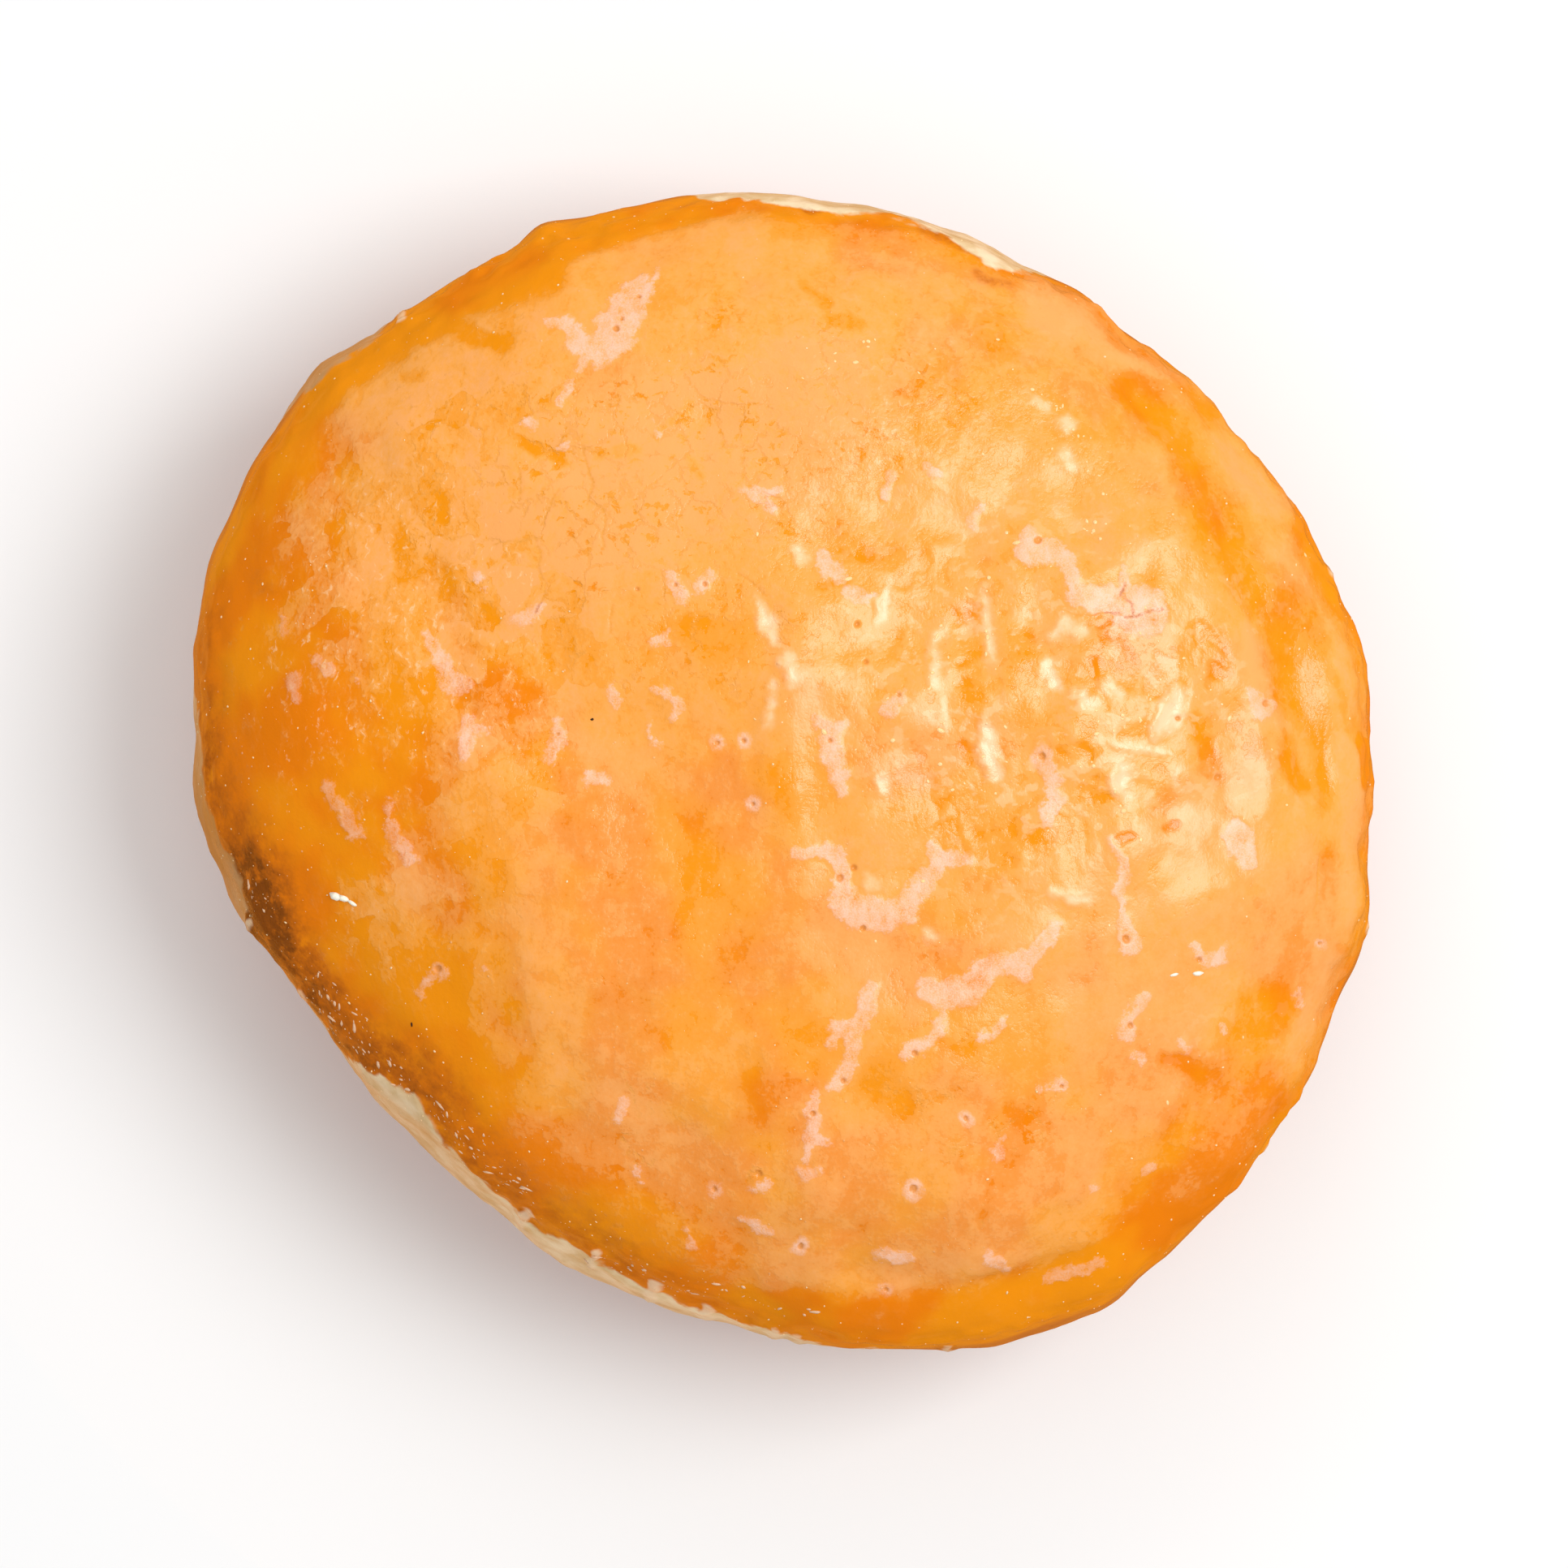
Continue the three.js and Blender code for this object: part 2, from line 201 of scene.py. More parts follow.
# Flakes of dried glaze, as strokes
FLAKES = [
    # Patch at the upper left, with its edge, tip and tail
    [(-17.3, 35.9, 0.7), (-16.2, 34.6, 1.1), (-14.6, 34.1, 1.5), (-13.3, 35.2, 1.6), (-12.4, 36.7, 1.2),
     (-11.4, 38.2, 0.9), (-10.5, 39.7, 0.4), (-10.1, 40.5, 0.2)],
    [(-14.5, 36.3, 0.7), (-13.4, 37.8, 0.6), (-12.1, 39, 0.5), (-11, 39.7, 0.4)],
    [(-19.1, 36.4, 0.2), (-17.8, 36.2, 0.6)],
    [(-16, 33.4, 0.5), (-16.6, 32.1, 0.3)],
    # Round a pinhole at the right
    [(38.2, 5.9, 0.7), (38.6, 4.9, 0.8), (39.3, 5.2, 0.6)],
    # Crumbs and spots below the patch
    [(-17.1, 31, 0.45), (-18, 29.9, 0.45)],
    [(-20.9, 28.2, 0.4), (-20, 28, 0.4)],
    [(-17.9, 26.2, 0.3), (-17.3, 26.3, 0.3)],
    # The next dab is a painted highlight: a small glint drawn as a pale flake
    [(-10.1, 28, 0.25), (-10, 27.2, 0.3)],
    # Three-pointed flake and slivers towards the back
    [(-2.9, 22.6, 0.4), (-1.7, 22.1, 0.55), (-0.9, 21.2, 0.45)],
    [(-1.4, 22.3, 0.45), (-0.3, 22.8, 0.35)],
    [(8.7, 23.9, 0.3), (8.2, 22.3, 0.4)],
    [(11.7, 24.6, 0.4), (12.7, 23.9, 0.4)],
    [(15.4, 19.8, 0.4), (16.1, 21.2, 0.4)],
    # Two flakes with pinholes, a tooth and hooks, left of the middle
    [(-9, 15.9, 0.45), (-8.5, 14.9, 0.7), (-7.9, 14, 0.55)],
    [(-6.9, 14.3, 0.4), (-6.4, 15.3, 0.6), (-5.7, 15.8, 0.35)],
    [(-10.3, 10.5, 0.45), (-9.5, 10.4, 0.4)],
    [(-9.6, 10.6, 0.35), (-9.2, 11.3, 0.2)],
    [(-10.3, 6.6, 0.3), (-9.3, 6.2, 0.5), (-8.7, 5.3, 0.55), (-8.9, 4.6, 0.4)],
    [(-10.7, 3.8, 0.25), (-10.9, 3, 0.35), (-10.3, 2.3, 0.4)],
    # Middle, with the horned flake
    [(3, 17.4, 0.6), (3.9, 16.4, 0.9), (4.6, 15.4, 0.5)],
    [(5.4, 14.2, 0.45), (7.1, 13.9, 0.55)],
    [(2.9, 3.9, 0.4), (3.8, 3.1, 0.9), (3.9, 0.9, 0.9), (4.6, -0.6, 0.8), (4.9, -1.8, 0.4)],
    [(4.2, 3.2, 0.7), (5, 3.9, 0.3)],
    [(8.5, 4.9, 0.6), (9.6, 5.9, 0.5)],
    # Cracked patch at the right, its spur, and a flake below a pinhole
    [(20.1, 19.2, 0.5), (19.6, 17.6, 0.9), (20.8, 17.5, 1.1), (22.1, 17.8, 0.9), (23.4, 16.2, 0.7),
     (23.7, 14.4, 0.8), (25.3, 13.7, 1.1), (27.4, 14, 1.1), (29.8, 13.7, 1.2), (29.9, 11.8, 1.1),
     (27.8, 12.1, 1)],
    [(27.7, 16.4, 0.4), (27.7, 14.6, 0.7)],
    [(21.3, 0.6, 0.7), (22, -0.8, 0.7), (21.9, -2.6, 1), (21.4, -3.9, 0.7)],
    # Bend in the middle, with its spur
    [(0.9, -6.7, 0.4), (2.9, -6.6, 0.6), (4.3, -6.7, 0.8), (4.8, -8, 0.9), (4.8, -9.5, 1),
     (5.2, -11.1, 1.4), (6.5, -11.6, 1.4), (8.5, -11.6, 1.3), (10, -11.1, 1.2), (10.8, -9.9, 0.8),
     (11.9, -8.8, 0.8), (12.7, -7.4, 0.9), (14.8, -7.2, 0.6)],
    [(12.7, -7.4, 0.7), (12.1, -5.9, 0.5)],
    # Slanting streak, and the streaks down the middle
    [(11.9, -17.8, 1.1), (13.1, -18.4, 1.3), (15, -17.8, 1.2), (16.4, -16.3, 1.2), (17.7, -15.5, 0.8),
     (19.2, -15.9, 0.8), (20.2, -16.9, 0.4)],
    [(18.6, -15.4, 0.7), (20, -15, 0.6), (21.3, -13.8, 0.8), (22.1, -12.6, 0.5)],
    [(7.1, -18, 0.7), (6.7, -19.8, 0.8), (5.6, -21.3, 0.8), (5.6, -22.8, 0.7), (5.2, -24.4, 0.7),
     (4.2, -25.5, 0.6)],
    [(5.2, -21, 0.8), (4.6, -20.9, 0.8), (4, -22.3, 0.4)],
    [(2.6, -26.1, 0.5), (2.4, -27.8, 0.7), (2.5, -29, 0.65), (2.3, -30.2, 0.75), (1.8, -31.1, 0.4)],
    [(2.3, -30, 0.5), (3.6, -30, 0.3)],
    # Drop and sliver right of those
    [(12.9, -20.1, 0.5), (12.5, -21.3, 0.55), (11.1, -22.5, 0.6), (10.3, -22.7, 0.8)],
    [(18.1, -20, 0.35), (17.1, -21.3, 0.6), (16.2, -21.7, 0.4)],
    # Right: upright streak, egg, hook and smaller ones
    [(26.6, -5.6, 0.3), (27.4, -7.4, 0.5), (27.3, -9.3, 0.6), (27.5, -11.6, 0.4), (27.9, -13, 0.6),
     (28.1, -14.1, 1)],
    [(36.9, -5.2, 1.2), (37.2, -6.2, 1.2), (37.8, -7.4, 0.7)],
    [(33.3, -14.2, 0.4), (34.3, -15.4, 0.6), (35.4, -15.4, 0.7), (35.9, -14.2, 0.3)],
    [(29.4, -18.3, 0.5), (28.3, -19.9, 0.6), (27.9, -21.4, 0.75)],
    [(28.2, -23.1, 0.4), (29, -23.5, 0.4)],
    [(21, -25.9, 0.3), (22.6, -25.6, 0.65)],
    [(17.6, -29.9, 0.3), (17.3, -31.1, 0.6)],
    [(41.6, -17.9, 0.35), (41.7, -18.8, 0.4)],
    [(32.2, -22.1, 0.4), (32.8, -22.6, 0.35)],
    [(35.6, -20.8, 0.3), (36.2, -21.2, 0.3)],
    [(29.3, -32.3, 0.4), (29.8, -32.1, 0.35)],
    [(25, -33.8, 0.3), (25.3, -34, 0.3)],
    [(32.8, -29.9, 0.25), (33.1, -30, 0.25)],
    # Left: long fleck, teardrop and others
    [(-28.8, 11, 0.35), (-27.6, 8.8, 0.8), (-26.7, 7.1, 1.1), (-25.7, 6.9, 0.5)],
    [(-25.3, 4.2, 0.5), (-25.6, 2.9, 0.8), (-25.7, 1.2, 0.6)],
    [(-25.4, 3.1, 0.5), (-24.1, 3.3, 0.3)],
    [(-18.1, 3.9, 0.3), (-18.3, 2.3, 0.75), (-18.8, 0.8, 0.5)],
    [(-15.6, -0.6, 0.65), (-14.5, -0.9, 0.6)],
    [(-13.8, 6.8, 0.45), (-13.5, 5.5, 0.65)],
    [(-37.3, -0.6, 0.2), (-36.5, -2.2, 0.55), (-35.5, -3.3, 0.6), (-34.7, -4.9, 0.85)],
    [(-31.9, -2.6, 0.4), (-31.7, -4.2, 0.6), (-31, -6, 0.7), (-30, -7, 0.65)],
    [(-37.6, 8.9, 0.45), (-36.6, 8, 0.5)],
    [(-34.8, 7.7, 0.25), (-34.4, 7.3, 0.3)],
    [(-39.6, 7.4, 0.4), (-39.3, 5.7, 0.45)],
    [(-40.4, 12.2, 0.3), (-40.2, 11, 0.35)],
    # Upper left and lower left, small ones
    [(-21.6, 12.1, 0.3), (-20.5, 12.3, 0.55), (-19.6, 13.3, 0.3)],
    [(-24.6, 15.5, 0.5), (-24, 14.9, 0.4)],
    [(-29.2, -18.1, 0.5), (-28.6, -16.9, 0.4), (-27.4, -16.5, 0.5)],
    [(-24.1, -16.1, 0.35), (-23.8, -16.3, 0.25)],
    [(-13, -27.1, 0.55), (-13.3, -28.2, 0.4)],
    # Front
    [(-11.9, -32.4, 0.4), (-11.5, -32.8, 0.4)],
    [(-3.2, -36.3, 0.3), (-1.9, -36.8, 0.65), (-1.2, -37.5, 0.4)],
    [(1.6, -32.7, 0.7), (2.5, -32.5, 0.65)],
    [(-2.3, -33.8, 0.5), (-1.3, -33.5, 0.55)],
    [(7.6, -38.9, 0.5), (9.2, -39.4, 0.7), (10.2, -39.3, 0.4)],
    [(16.8, -39.4, 0.6), (18, -40.2, 0.45)],
    [(21.5, -41, 0.45), (23.6, -40.5, 0.65), (25.8, -39.9, 0.45)],
    [(-7.6, -37.2, 0.25), (-7.3, -38.6, 0.35)],
]

# Bubbles that burst in the glaze: x, y and the hole's radius, and then the pale ring's width, if any
PINHOLES = [
    (-13.5, 35.7, 0.3), (-13, 36.5, 0.2), (-11.6, 38.3, 0.2), (20.6, 18.6, 0.36), (4.6, -8.7, 0.34),
    (5.8, -8, 0.28), (6.5, -12.8, 0.28), (4.9, -25.1, 0.26), (2.4, -27.8, 0.26), (10.7, -22.9, 0.28),
    (27.8, -13.7, 0.34), (33.7, -15.3, 0.28), (28.2, -20.7, 0.28), (22.6, -25.6, 0.2), (39.1, 5.4, 0.3),
    (32, 4.2, 0.26), (-8.6, 15, 0.2), (-6.3, 15, 0.24), (3.9, 2.4, 0.24), (9.4, 6.1, 0.2),
    (-11.8, 14.7, 0.2), (6.1, 11.8, 0.26), (6.8, 8.8, 0.24), (-1.9, -32.7, 0.3), (-18.2, 2.9, 0.16),
    (41.6, -18.2, 0.1), (35.2, -0.6, 0.3),
]
RINGED_PINHOLES = [
    (21, 1.1, 0.34, 0.7), (14.9, -28.2, 0.24, 0.45), (-5.2, 2.2, 0.22, 0.45), (-3.1, 2.4, 0.22, 0.45),
    (-2.4, -2.7, 0.22, 0.45), (10.6, -33.9, 0.36, 0.6), (1.4, -38.5, 0.26, 0.5), (-5.5, -33.9, 0.24, 0.45),
    (8.4, -42.1, 0.24, 0.45), (-27.9, -16.1, 0.32, 0.2), (43.3, -13.9, 0.2, 0.3),
]
HOLES = PINHOLES + [hole[:3] for hole in RINGED_PINHOLES]

# Hairline cracks, and the groove along the right edge
CRACKS = [
    # Across and down the cracked patch
    [(23.6, 12.5), (25.3, 12.5), (26.9, 12.9), (27.7, 12.4), (29.2, 12.5), (30.6, 13.2)],
    [(27.7, 15.1), (27.5, 14.3), (28.2, 13.5), (28.5, 12.4)],
    # Upper left
    [(-18.1, 22.7), (-18.6, 21.7), (-19, 20.8), (-19.5, 19.8)],
    [(-15.8, 21.8), (-14.5, 21.2), (-14.2, 19.8), (-14.6, 18.9), (-14.5, 18.2)],
    [(-23.4, 18.3), (-21.3, 18.5), (-19.8, 18.7)],
    [(-19.8, 18.7), (-19.6, 17.8), (-19.8, 16.7), (-19.2, 15.1), (-19.4, 14.3), (-19.8, 12.9)],
    [(-21.2, 24.3), (-21.2, 22.9), (-21.4, 21.6)],
    [(-22.1, 20.7), (-21.8, 21.2), (-21.3, 21.3), (-20.9, 20.8)],
    [(-16, 26.3), (-15.9, 25.2), (-15.6, 23.9), (-15.3, 22.7), (-15.8, 21.6)],
    # Plateau
    [(-12.2, 31.9), (-11.8, 31), (-12.2, 29.9)],
    [(-13.6, 13.4), (-14.1, 12.2), (-13.8, 11.2)],
    [(-3.6, 15.9), (-2.4, 15.1), (-1.6, 14.3)],
    # Groove at the right edge
    [(43.6, -6.9), (43.4, -9.2), (42.9, -11.8)],
]
THIN_LINES = [[(x, y, 0.0) for x, y in line] for line in CRACKS]

# Lumps of glaze, as strokes, with how far they stand out, and the step over which they lean to the left
# The material paints these lumps paler: partly thick glaze, partly a painted highlight where the lamp's
# reflection falls on them
LUMPS_AND_HIGHLIGHTS = [
    # Middle
    [(-2, 13.6, 0.4), (-1.2, 11.9, 0.9), (-0.7, 10.6, 0.5)],
    [(0.5, 8.8, 0.7), (1, 7.6, 0.8)],
    [(-0.8, 7, 0.3), (-0.8, 5.2, 0.45), (-1.2, 3.6, 0.35)],
    [(8.6, 15.2, 0.25), (8.2, 13.3, 0.6), (7.8, 12, 0.4)],
    # Ridges right of the middle
    [(12.6, 11.2, 0.4), (12.3, 9.4, 0.45), (12.4, 7, 0.7)],
    [(16.4, 15, 0.25), (16.6, 11.8, 0.4), (17, 9, 0.5)],
    [(16.4, 3.4, 0.7), (16.6, 1.4, 1.1), (17.2, -0.4, 0.7)],
    [(13, 5.8, 0.3), (13.3, 3.4, 0.35)],
    [(8.1, -0.8, 0.6), (8.3, -1.6, 0.5)],
    # Blobs, bar and curl at the right
    [(21.4, 8.4, 0.6), (22, 7, 0.7)],
    [(24.3, 6.2, 0.8), (24.9, 5.4, 0.8)],
    [(26.4, 6.9, 0.8), (27.2, 6.2, 0.6)],
    [(22.2, 10.8, 0.5), (22.8, 12, 0.5), (24.2, 11, 0.5)],
    [(32, 6, 0.9), (31.4, 4.6, 1.4), (30.4, 3.2, 0.8)],
    [(27, 2.1, 0.35), (29, 1.8, 0.3), (31.6, 1.4, 0.25)],
    [(27.4, 0.4, 0.7), (27.4, -0.9, 1.1), (28, -2.2, 0.6)],
    [(31.9, 1, 0.3), (31.9, -1.2, 0.3)],
    # Upper right
    [(23, 25.6, 0.5), (23.4, 24.6, 0.6)],
    [(22.8, 28.1, 0.6), (23.4, 27.8, 0.5)],
    [(20.6, 29.9, 0.3), (21.4, 29.4, 0.3)],
    # Above the middle, below the bend and lower right
    [(1.2, 17.9, 0.5), (1.7, 17.2, 0.6)],
    [(11.6, -13, 0.3), (12.4, -13.6, 0.45)],
    [(6.9, -8.4, 0.3), (7.3, -9.2, 0.45)],
    [(22, -10, 0.4), (24.4, -10.4, 0.6)],
]
LUMP_STANDS = 0.18
LUMP_LEAN = 0.8

# Where the crust is browned elsewhere: how strongly, over how many millimetres it fades, and the stroke
SCORCHED = [
    # Left
    (0.24, 2, [(-47, 14, 0.6), (-47.6, 6, 0.6), (-47.2, 0, 0.8)]),
    (0.35, 1.6, [(-43, -7.4, 0.6), (-42.2, -10, 0.8), (-41.6, -11.8, 0.9), (-40.8, -14, 0.7)]),
    (0.22, 1.2, [(-42.4, 15.8, 0.5), (-41.6, 14.9, 0.5)]),
    # Back
    (0.4, 0.4, [(2.4, 45.5, 0.35), (3.2, 45.4, 0.35)]),
    (0.35, 0.6, [(11.4, 43.9, 0.4), (16.6, 41.7, 0.5)]),
    (0.3, 0.5, [(15.8, 39.8, 0.3), (18.6, 38.6, 0.3)]),
]

# How much the set glaze is rugged, wispy, creased or crinkled: x, y, reach and amount
RUGGED = [(28, 5, 13, 1.0), (12, 8, 11, 0.6), (14, 26, 13, 0.4), (18, -6, 9, 0.5), (36, -23, 6, 0.4)]
WISPY = [
    (-37, 6, 10, 1.0), (-33, 19, 9, 0.9), (-24, 13, 8, 0.9), (-22, 2, 8, 0.6), (-35, -12, 9, 0.7),
    (-26, -22, 8, 0.4), (-24, 30, 8, 0.6),
]
CREASED = [
    (-19, 22, 12, 1.0), (-3, 28, 12, 0.9), (12, 30, 8, 0.5), (-16, -4, 10, 0.45), (0, 12, 8, 0.4),
    (14, -24, 13, 0.45), (31, -12, 8, 0.35), (-12, -30, 9, 0.45),
]
CRINKLED = [
    (5, 28, 10, 1.0), (-8, 34, 7, 0.6), (16, 33, 8, 0.5), (0, 16, 8, 0.4), (24, 21, 8, 0.4),
    (-18, 16, 8, 0.4),
]

# Where pale crumbs on the browned edge stand in for its glints, partly a painted highlight, and where the
# glaze has set in beads, as strokes
GLINTS = [
    # Left
    [(-43.2, -8.6, 0.3), (-41.7, -11.9, 0.4), (-40.8, -13.4, 0.4)],
    [(-37.6, -17.4, 1.2), (-34.5, -21.2, 1.4)],
    # Front left
    [(-33.4, -22.8, 0.9), (-30, -25.6, 0.9)],
    [(-28.3, -27.2, 0.7), (-26, -29.4, 0.8)],
    [(-26.2, -29.2, 1), (-23.6, -31.6, 1)],
    [(-23, -32.4, 0.5), (-20.8, -34.4, 0.5)],
    # Front
    [(-15.4, -39.6, 0.4), (-11.3, -40.6, 0.4)],
    [(-9.9, -41.5, 0.5), (-2.6, -42.4, 0.5)],
    [(-0.8, -43.8, 0.3), (2.5, -44.2, 0.3)],
]
BEADED = [
    # Back
    [(0.9, 31.2, 0.5), (3.4, 32.6, 0.6), (6.4, 34.3, 0.7), (9.7, 35.9, 0.4)],
    [(19.3, 32.3, 0.6), (23.7, 27.8, 0.7), (26.4, 21.6, 0.5)],
    # Ridges and pits at the right
    [(12.4, -0.9, 0.3), (15.4, -1.2, 0.35), (17.9, -1.6, 0.3)],
    [(12.2, 14.2, 0.4), (12.6, 10.2, 0.3), (12, 5.6, 0.4), (13.2, 2.2, 0.3)],
    [(16.4, 16.2, 0.3), (16.7, 12.4, 0.3), (16.9, 6.4, 0.35)],
    [(25.4, 3.2, 0.9), (24.6, -1.2, 0.8), (31.6, 9.2, 0.9), (36, 4, 0.7)],
    [(24.8, 19.6, 0.8), (29.6, 18.6, 0.7)],
]

# Drips of glaze over the belt: turn in degrees, upper and lower level, and half width
DRIPS = [
    (262, 24.5, 20.5, 0.55), (269.2, 24.0, 19.0, 0.5), (271.5, 23.5, 18.5, 0.45), (256, 25.5, 21.5, 0.6),
    (286, 23.0, 19.5, 0.45), (249, 26.0, 22.5, 0.5), (240, 26.0, 21.0, 0.5), (345, 23.0, 18.5, 0.5),
    (196, 24.5, 21.0, 0.45), (205, 24.5, 19.5, 0.5), (20, 23.5, 19.5, 0.5), (322, 23.0, 18.0, 0.55),
    (130, 24.5, 20.5, 0.5),
]
DRIP_STANDS = 0.25

# Sugar grains and crumbs that lie on the glaze: x, y, half length, half width and turn in degrees. Their
# height is given for each millimetre of half width.
WHITE_GRAINS = [
    (-36.1, -10.25, 0.65, 0.42, -5), (-35.5, -10.4, 0.6, 0.32, -12), (-34.8, -10.75, 0.5, 0.18, -25),
    (33.6, -16.45, 0.5, 0.25, 5), (31.7, -16.55, 0.42, 0.15, 12),
]
DARK_CRUMBS = [(-15.4, 4.1, 0.16, 0.1, 20), (-30.0, -20.6, 0.24, 0.09, 80)]
PLACED_HEIGHT = 0.8

# How far past a stroke's edge glints and beads are strewn
STREWN_BEYOND = 0.1

# Relief of the thin marks in millimetres, and of film and belt against the bare crust
FLAKE_STANDS = 0.05
FILM_STANDS = 0.05
PINHOLE_DEPTH = 0.2
CRACK_DEPTH = 0.04
BELT_DEPTH = 0.1

# Layers of noise: how much of each, its size in millimetres, its seed and, where it has one, its stretch
NOISES = {
    "belt edge": [(1, 4, 3.1), (1, 1.5, 8.3), (0.6, 0.7, 19.4)],
    "film": [(0.24, 7.0, 5.5)],
    "streaks": [(1, 2.6, 14.8, (0.8, 1.25, 1))],
    "golden": [(1.4, 8.0, 66.2), (0.5, 2.2, 71.8)],
    "creased": [(0.8, 4.0, 83.6)],
    "flake edge": [(0.35, 1.0, 55.2), (0.25, 0.55, 33.1)],
    "lump edge": [(0.35, 0.9, 91.4), (0.2, 0.5, 15.3)],
    "pits": [(1, 3.0, 17.2), (0.7, 1.3, 28.6)],
    "grooves": [(1, 1.6, 12.3, (1, 2.4, 1)), (0.3, 0.9, 7.7, (1, 1.4, 1))],
    "smooth glaze": [(0.2, 3.4, 1.7), (0.06, 1.5, 5.9)],
    "rugged glaze": [(0.085, 4.2, 36.1), (0.04, 2.2, 68.9)],
    "rim": [(0.3, 2.6, 41.7), (0.28, 1.4, 52.9)],
    "browned crust": [(0.28, 1.7, 2.2), (0.25, 3.2, 9.1)],
    "belt": [(0.12, 2.4, 4.4, (1, 1, 3)), (0.08, 1.0, 6.1)],
}

# Levels where the finer triangles, the browned crust, the crown, and its marks and patches begin, and where
# crown and patches are whole
FINER_FROM = WIDEST_LEVEL - 5
SCORCH_FROM = WIDEST_LEVEL - 4
CROWN_FROM = WIDEST_LEVEL + 1
MARKS_FROM = WIDEST_LEVEL + 2
CROWN_WHOLE = WIDEST_LEVEL + 5
PATCHES_WHOLE = WIDEST_LEVEL + 7

# Triangles are split this near a mark or where the glaze is this rugged, and again this near the edge of a
# pinhole or a crack
NEAR_STROKE = 0.5
NEAR_PINHOLE = 0.4
SPLIT_RUGGED = 0.6
AT_PINHOLE_EDGE = 0.25
AT_CRACK = 0.15

# Distances to marks are cut off here
FAR = 6.0

# Doubles in the CAD mesh, in metres, and how far the material's noises are moved apart
DOUBLES_WITHIN = 1e-6
NOISE_SHIFT = 7.3

# Fields that the relief alone needs; the glaze's material reads all others from the mesh
RELIEF_ONLY = ["bulge", "lump_side", "pits"]


def srgb(red, green, blue):
    """A colour written as it shows on a screen, 0 to 255, as Blender's linear colour."""
    shares = [channel / 255 for channel in (red, green, blue)]
    linear = [s / 12.92 if s <= 0.04045 else ((s + 0.055) / 1.055) ** 2.4 for s in shares]
    return (*linear, 1.0)


def smooth_step(low, high, values):
    """A smooth rise from 0 at `low` to 1 at `high`."""
    t = np.clip((values - low) / (high - low), 0.0, 1.0)
    return t * t * (3 - 2 * t)


def fade(low, high, values):
    """A smooth fall from 1 at `low` to 0 at `high`."""
    return 1 - smooth_step(low, high, values)


def bell(away, reach):
    """1 where `away` is 0, and rounded off to nothing past `reach`."""
    return np.exp(-((away / reach) ** 2))


# Mesh

def cad_surface(node):
    """The corners of a CAD node in millimetres, with doubles merged, and its triangles."""
    shape = bmesh.new()
    shape.from_mesh(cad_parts[node].data)
    bmesh.ops.remove_doubles(shape, verts=shape.verts, dist=DOUBLES_WITHIN)
    bmesh.ops.triangulate(shape, faces=shape.faces)
    shape.verts.index_update()
    points = np.array([v.co for v in shape.verts]) / MM
    triangles = np.array([[v.index for v in f.verts] for f in shape.faces])
    shape.free()
    return points, triangles


def edges_of(triangles):
    """The edges, and for the sides ab, bc and ca of all triangles in turn, which edge each is."""
    a, b, c = triangles.T
    sides = np.sort(np.concatenate([np.stack(s, 1) for s in ((a, b), (b, c), (c, a))]), axis=1)
    edges, of_side = np.unique(sides, axis=0, return_inverse=True)
    return edges, of_side.ravel()


def loop_subdivide(points, triangles):
    """One round of Loop subdivision: every triangle becomes four, and the surface turns smoother."""
    a, b, c = triangles.T
    edges, of_side = edges_of(triangles)
    middles = points[edges].sum(1) * 3 / 8
    np.add.at(middles, of_side, points[np.concatenate([c, a, b])] / 8)
    ends, others = edges.ravel(), edges[:, ::-1].ravel()
    valence = np.bincount(ends)[:, None]
    ring = np.zeros_like(points)
    np.add.at(ring, ends, points[others])
    weight = 3 / 8 / valence
    moved = points * (1 - valence * weight) + ring * weight
    ab, bc, ca = (of_side + len(points)).reshape(3, -1)
    quarters = [(a, ab, ca), (b, bc, ab), (c, ca, bc), (ab, bc, ca)]
    return np.concatenate([moved, middles]), np.concatenate([np.stack(q, 1) for q in quarters])


def vertex_normals(points, triangles):
    first, second, third = points[triangles].transpose(1, 0, 2)
    facing = np.cross(second - first, third - first)
    normals = np.zeros_like(points)
    for corner in range(3):
        np.add.at(normals, triangles[:, corner], facing)
    return normals / np.linalg.norm(normals, axis=1)[:, None]


def split_edges(points, triangles, wanted):
    """Split the edges whose middles are wanted, and their triangles, at points on a smooth curve."""
    normals = vertex_normals(points, triangles)
    edges, of_side = edges_of(triangles)
    run = points[edges[:, 1]] - points[edges[:, 0]]
    dips = [(run * normals[end]).sum(1)[:, None] * normals[end] for end in edges.T]
    middles = points[edges].mean(1) + (dips[1] - dips[0]) / 8
    chosen = wanted(middles)
    number = np.full(len(edges), -1)
    number[chosen] = len(points) + np.arange(chosen.sum())
    on_sides = number[of_side].reshape(3, -1)
    count = (on_sides >= 0).sum(0)
    a, b, c = triangles.T
    ab, bc, ca = on_sides
    pieces = [triangles[count == 0]]
    for corners in [(a, ab, ca), (b, bc, ab), (c, ca, bc), (ab, bc, ca)]:
        pieces.append(np.stack(corners, 1)[count == 3])
    for turn in range(3):
        p, q, r = np.roll(triangles.T, -turn, axis=0)
        pq, qr, rp = np.roll(on_sides, -turn, axis=0)
        one = (count == 1) & (pq >= 0)
        two = (count == 2) & (rp < 0)
        pieces += [np.stack(corners, 1)[one] for corners in [(p, pq, r), (pq, q, r)]]
        pieces += [np.stack(corners, 1)[two] for corners in [(pq, q, qr), (p, pq, qr), (p, qr, r)]]
    return np.concatenate([points, middles[chosen]]), np.concatenate(pieces)


def noise_at(points, size, seed, stretch=(1, 1, 1)):
    """Noise from -1 to 1 with swells about `size` millimetres across."""
    places = points / (size * np.array(stretch)) + seed
    return np.array([noise.noise(Vector(place)) for place in places])


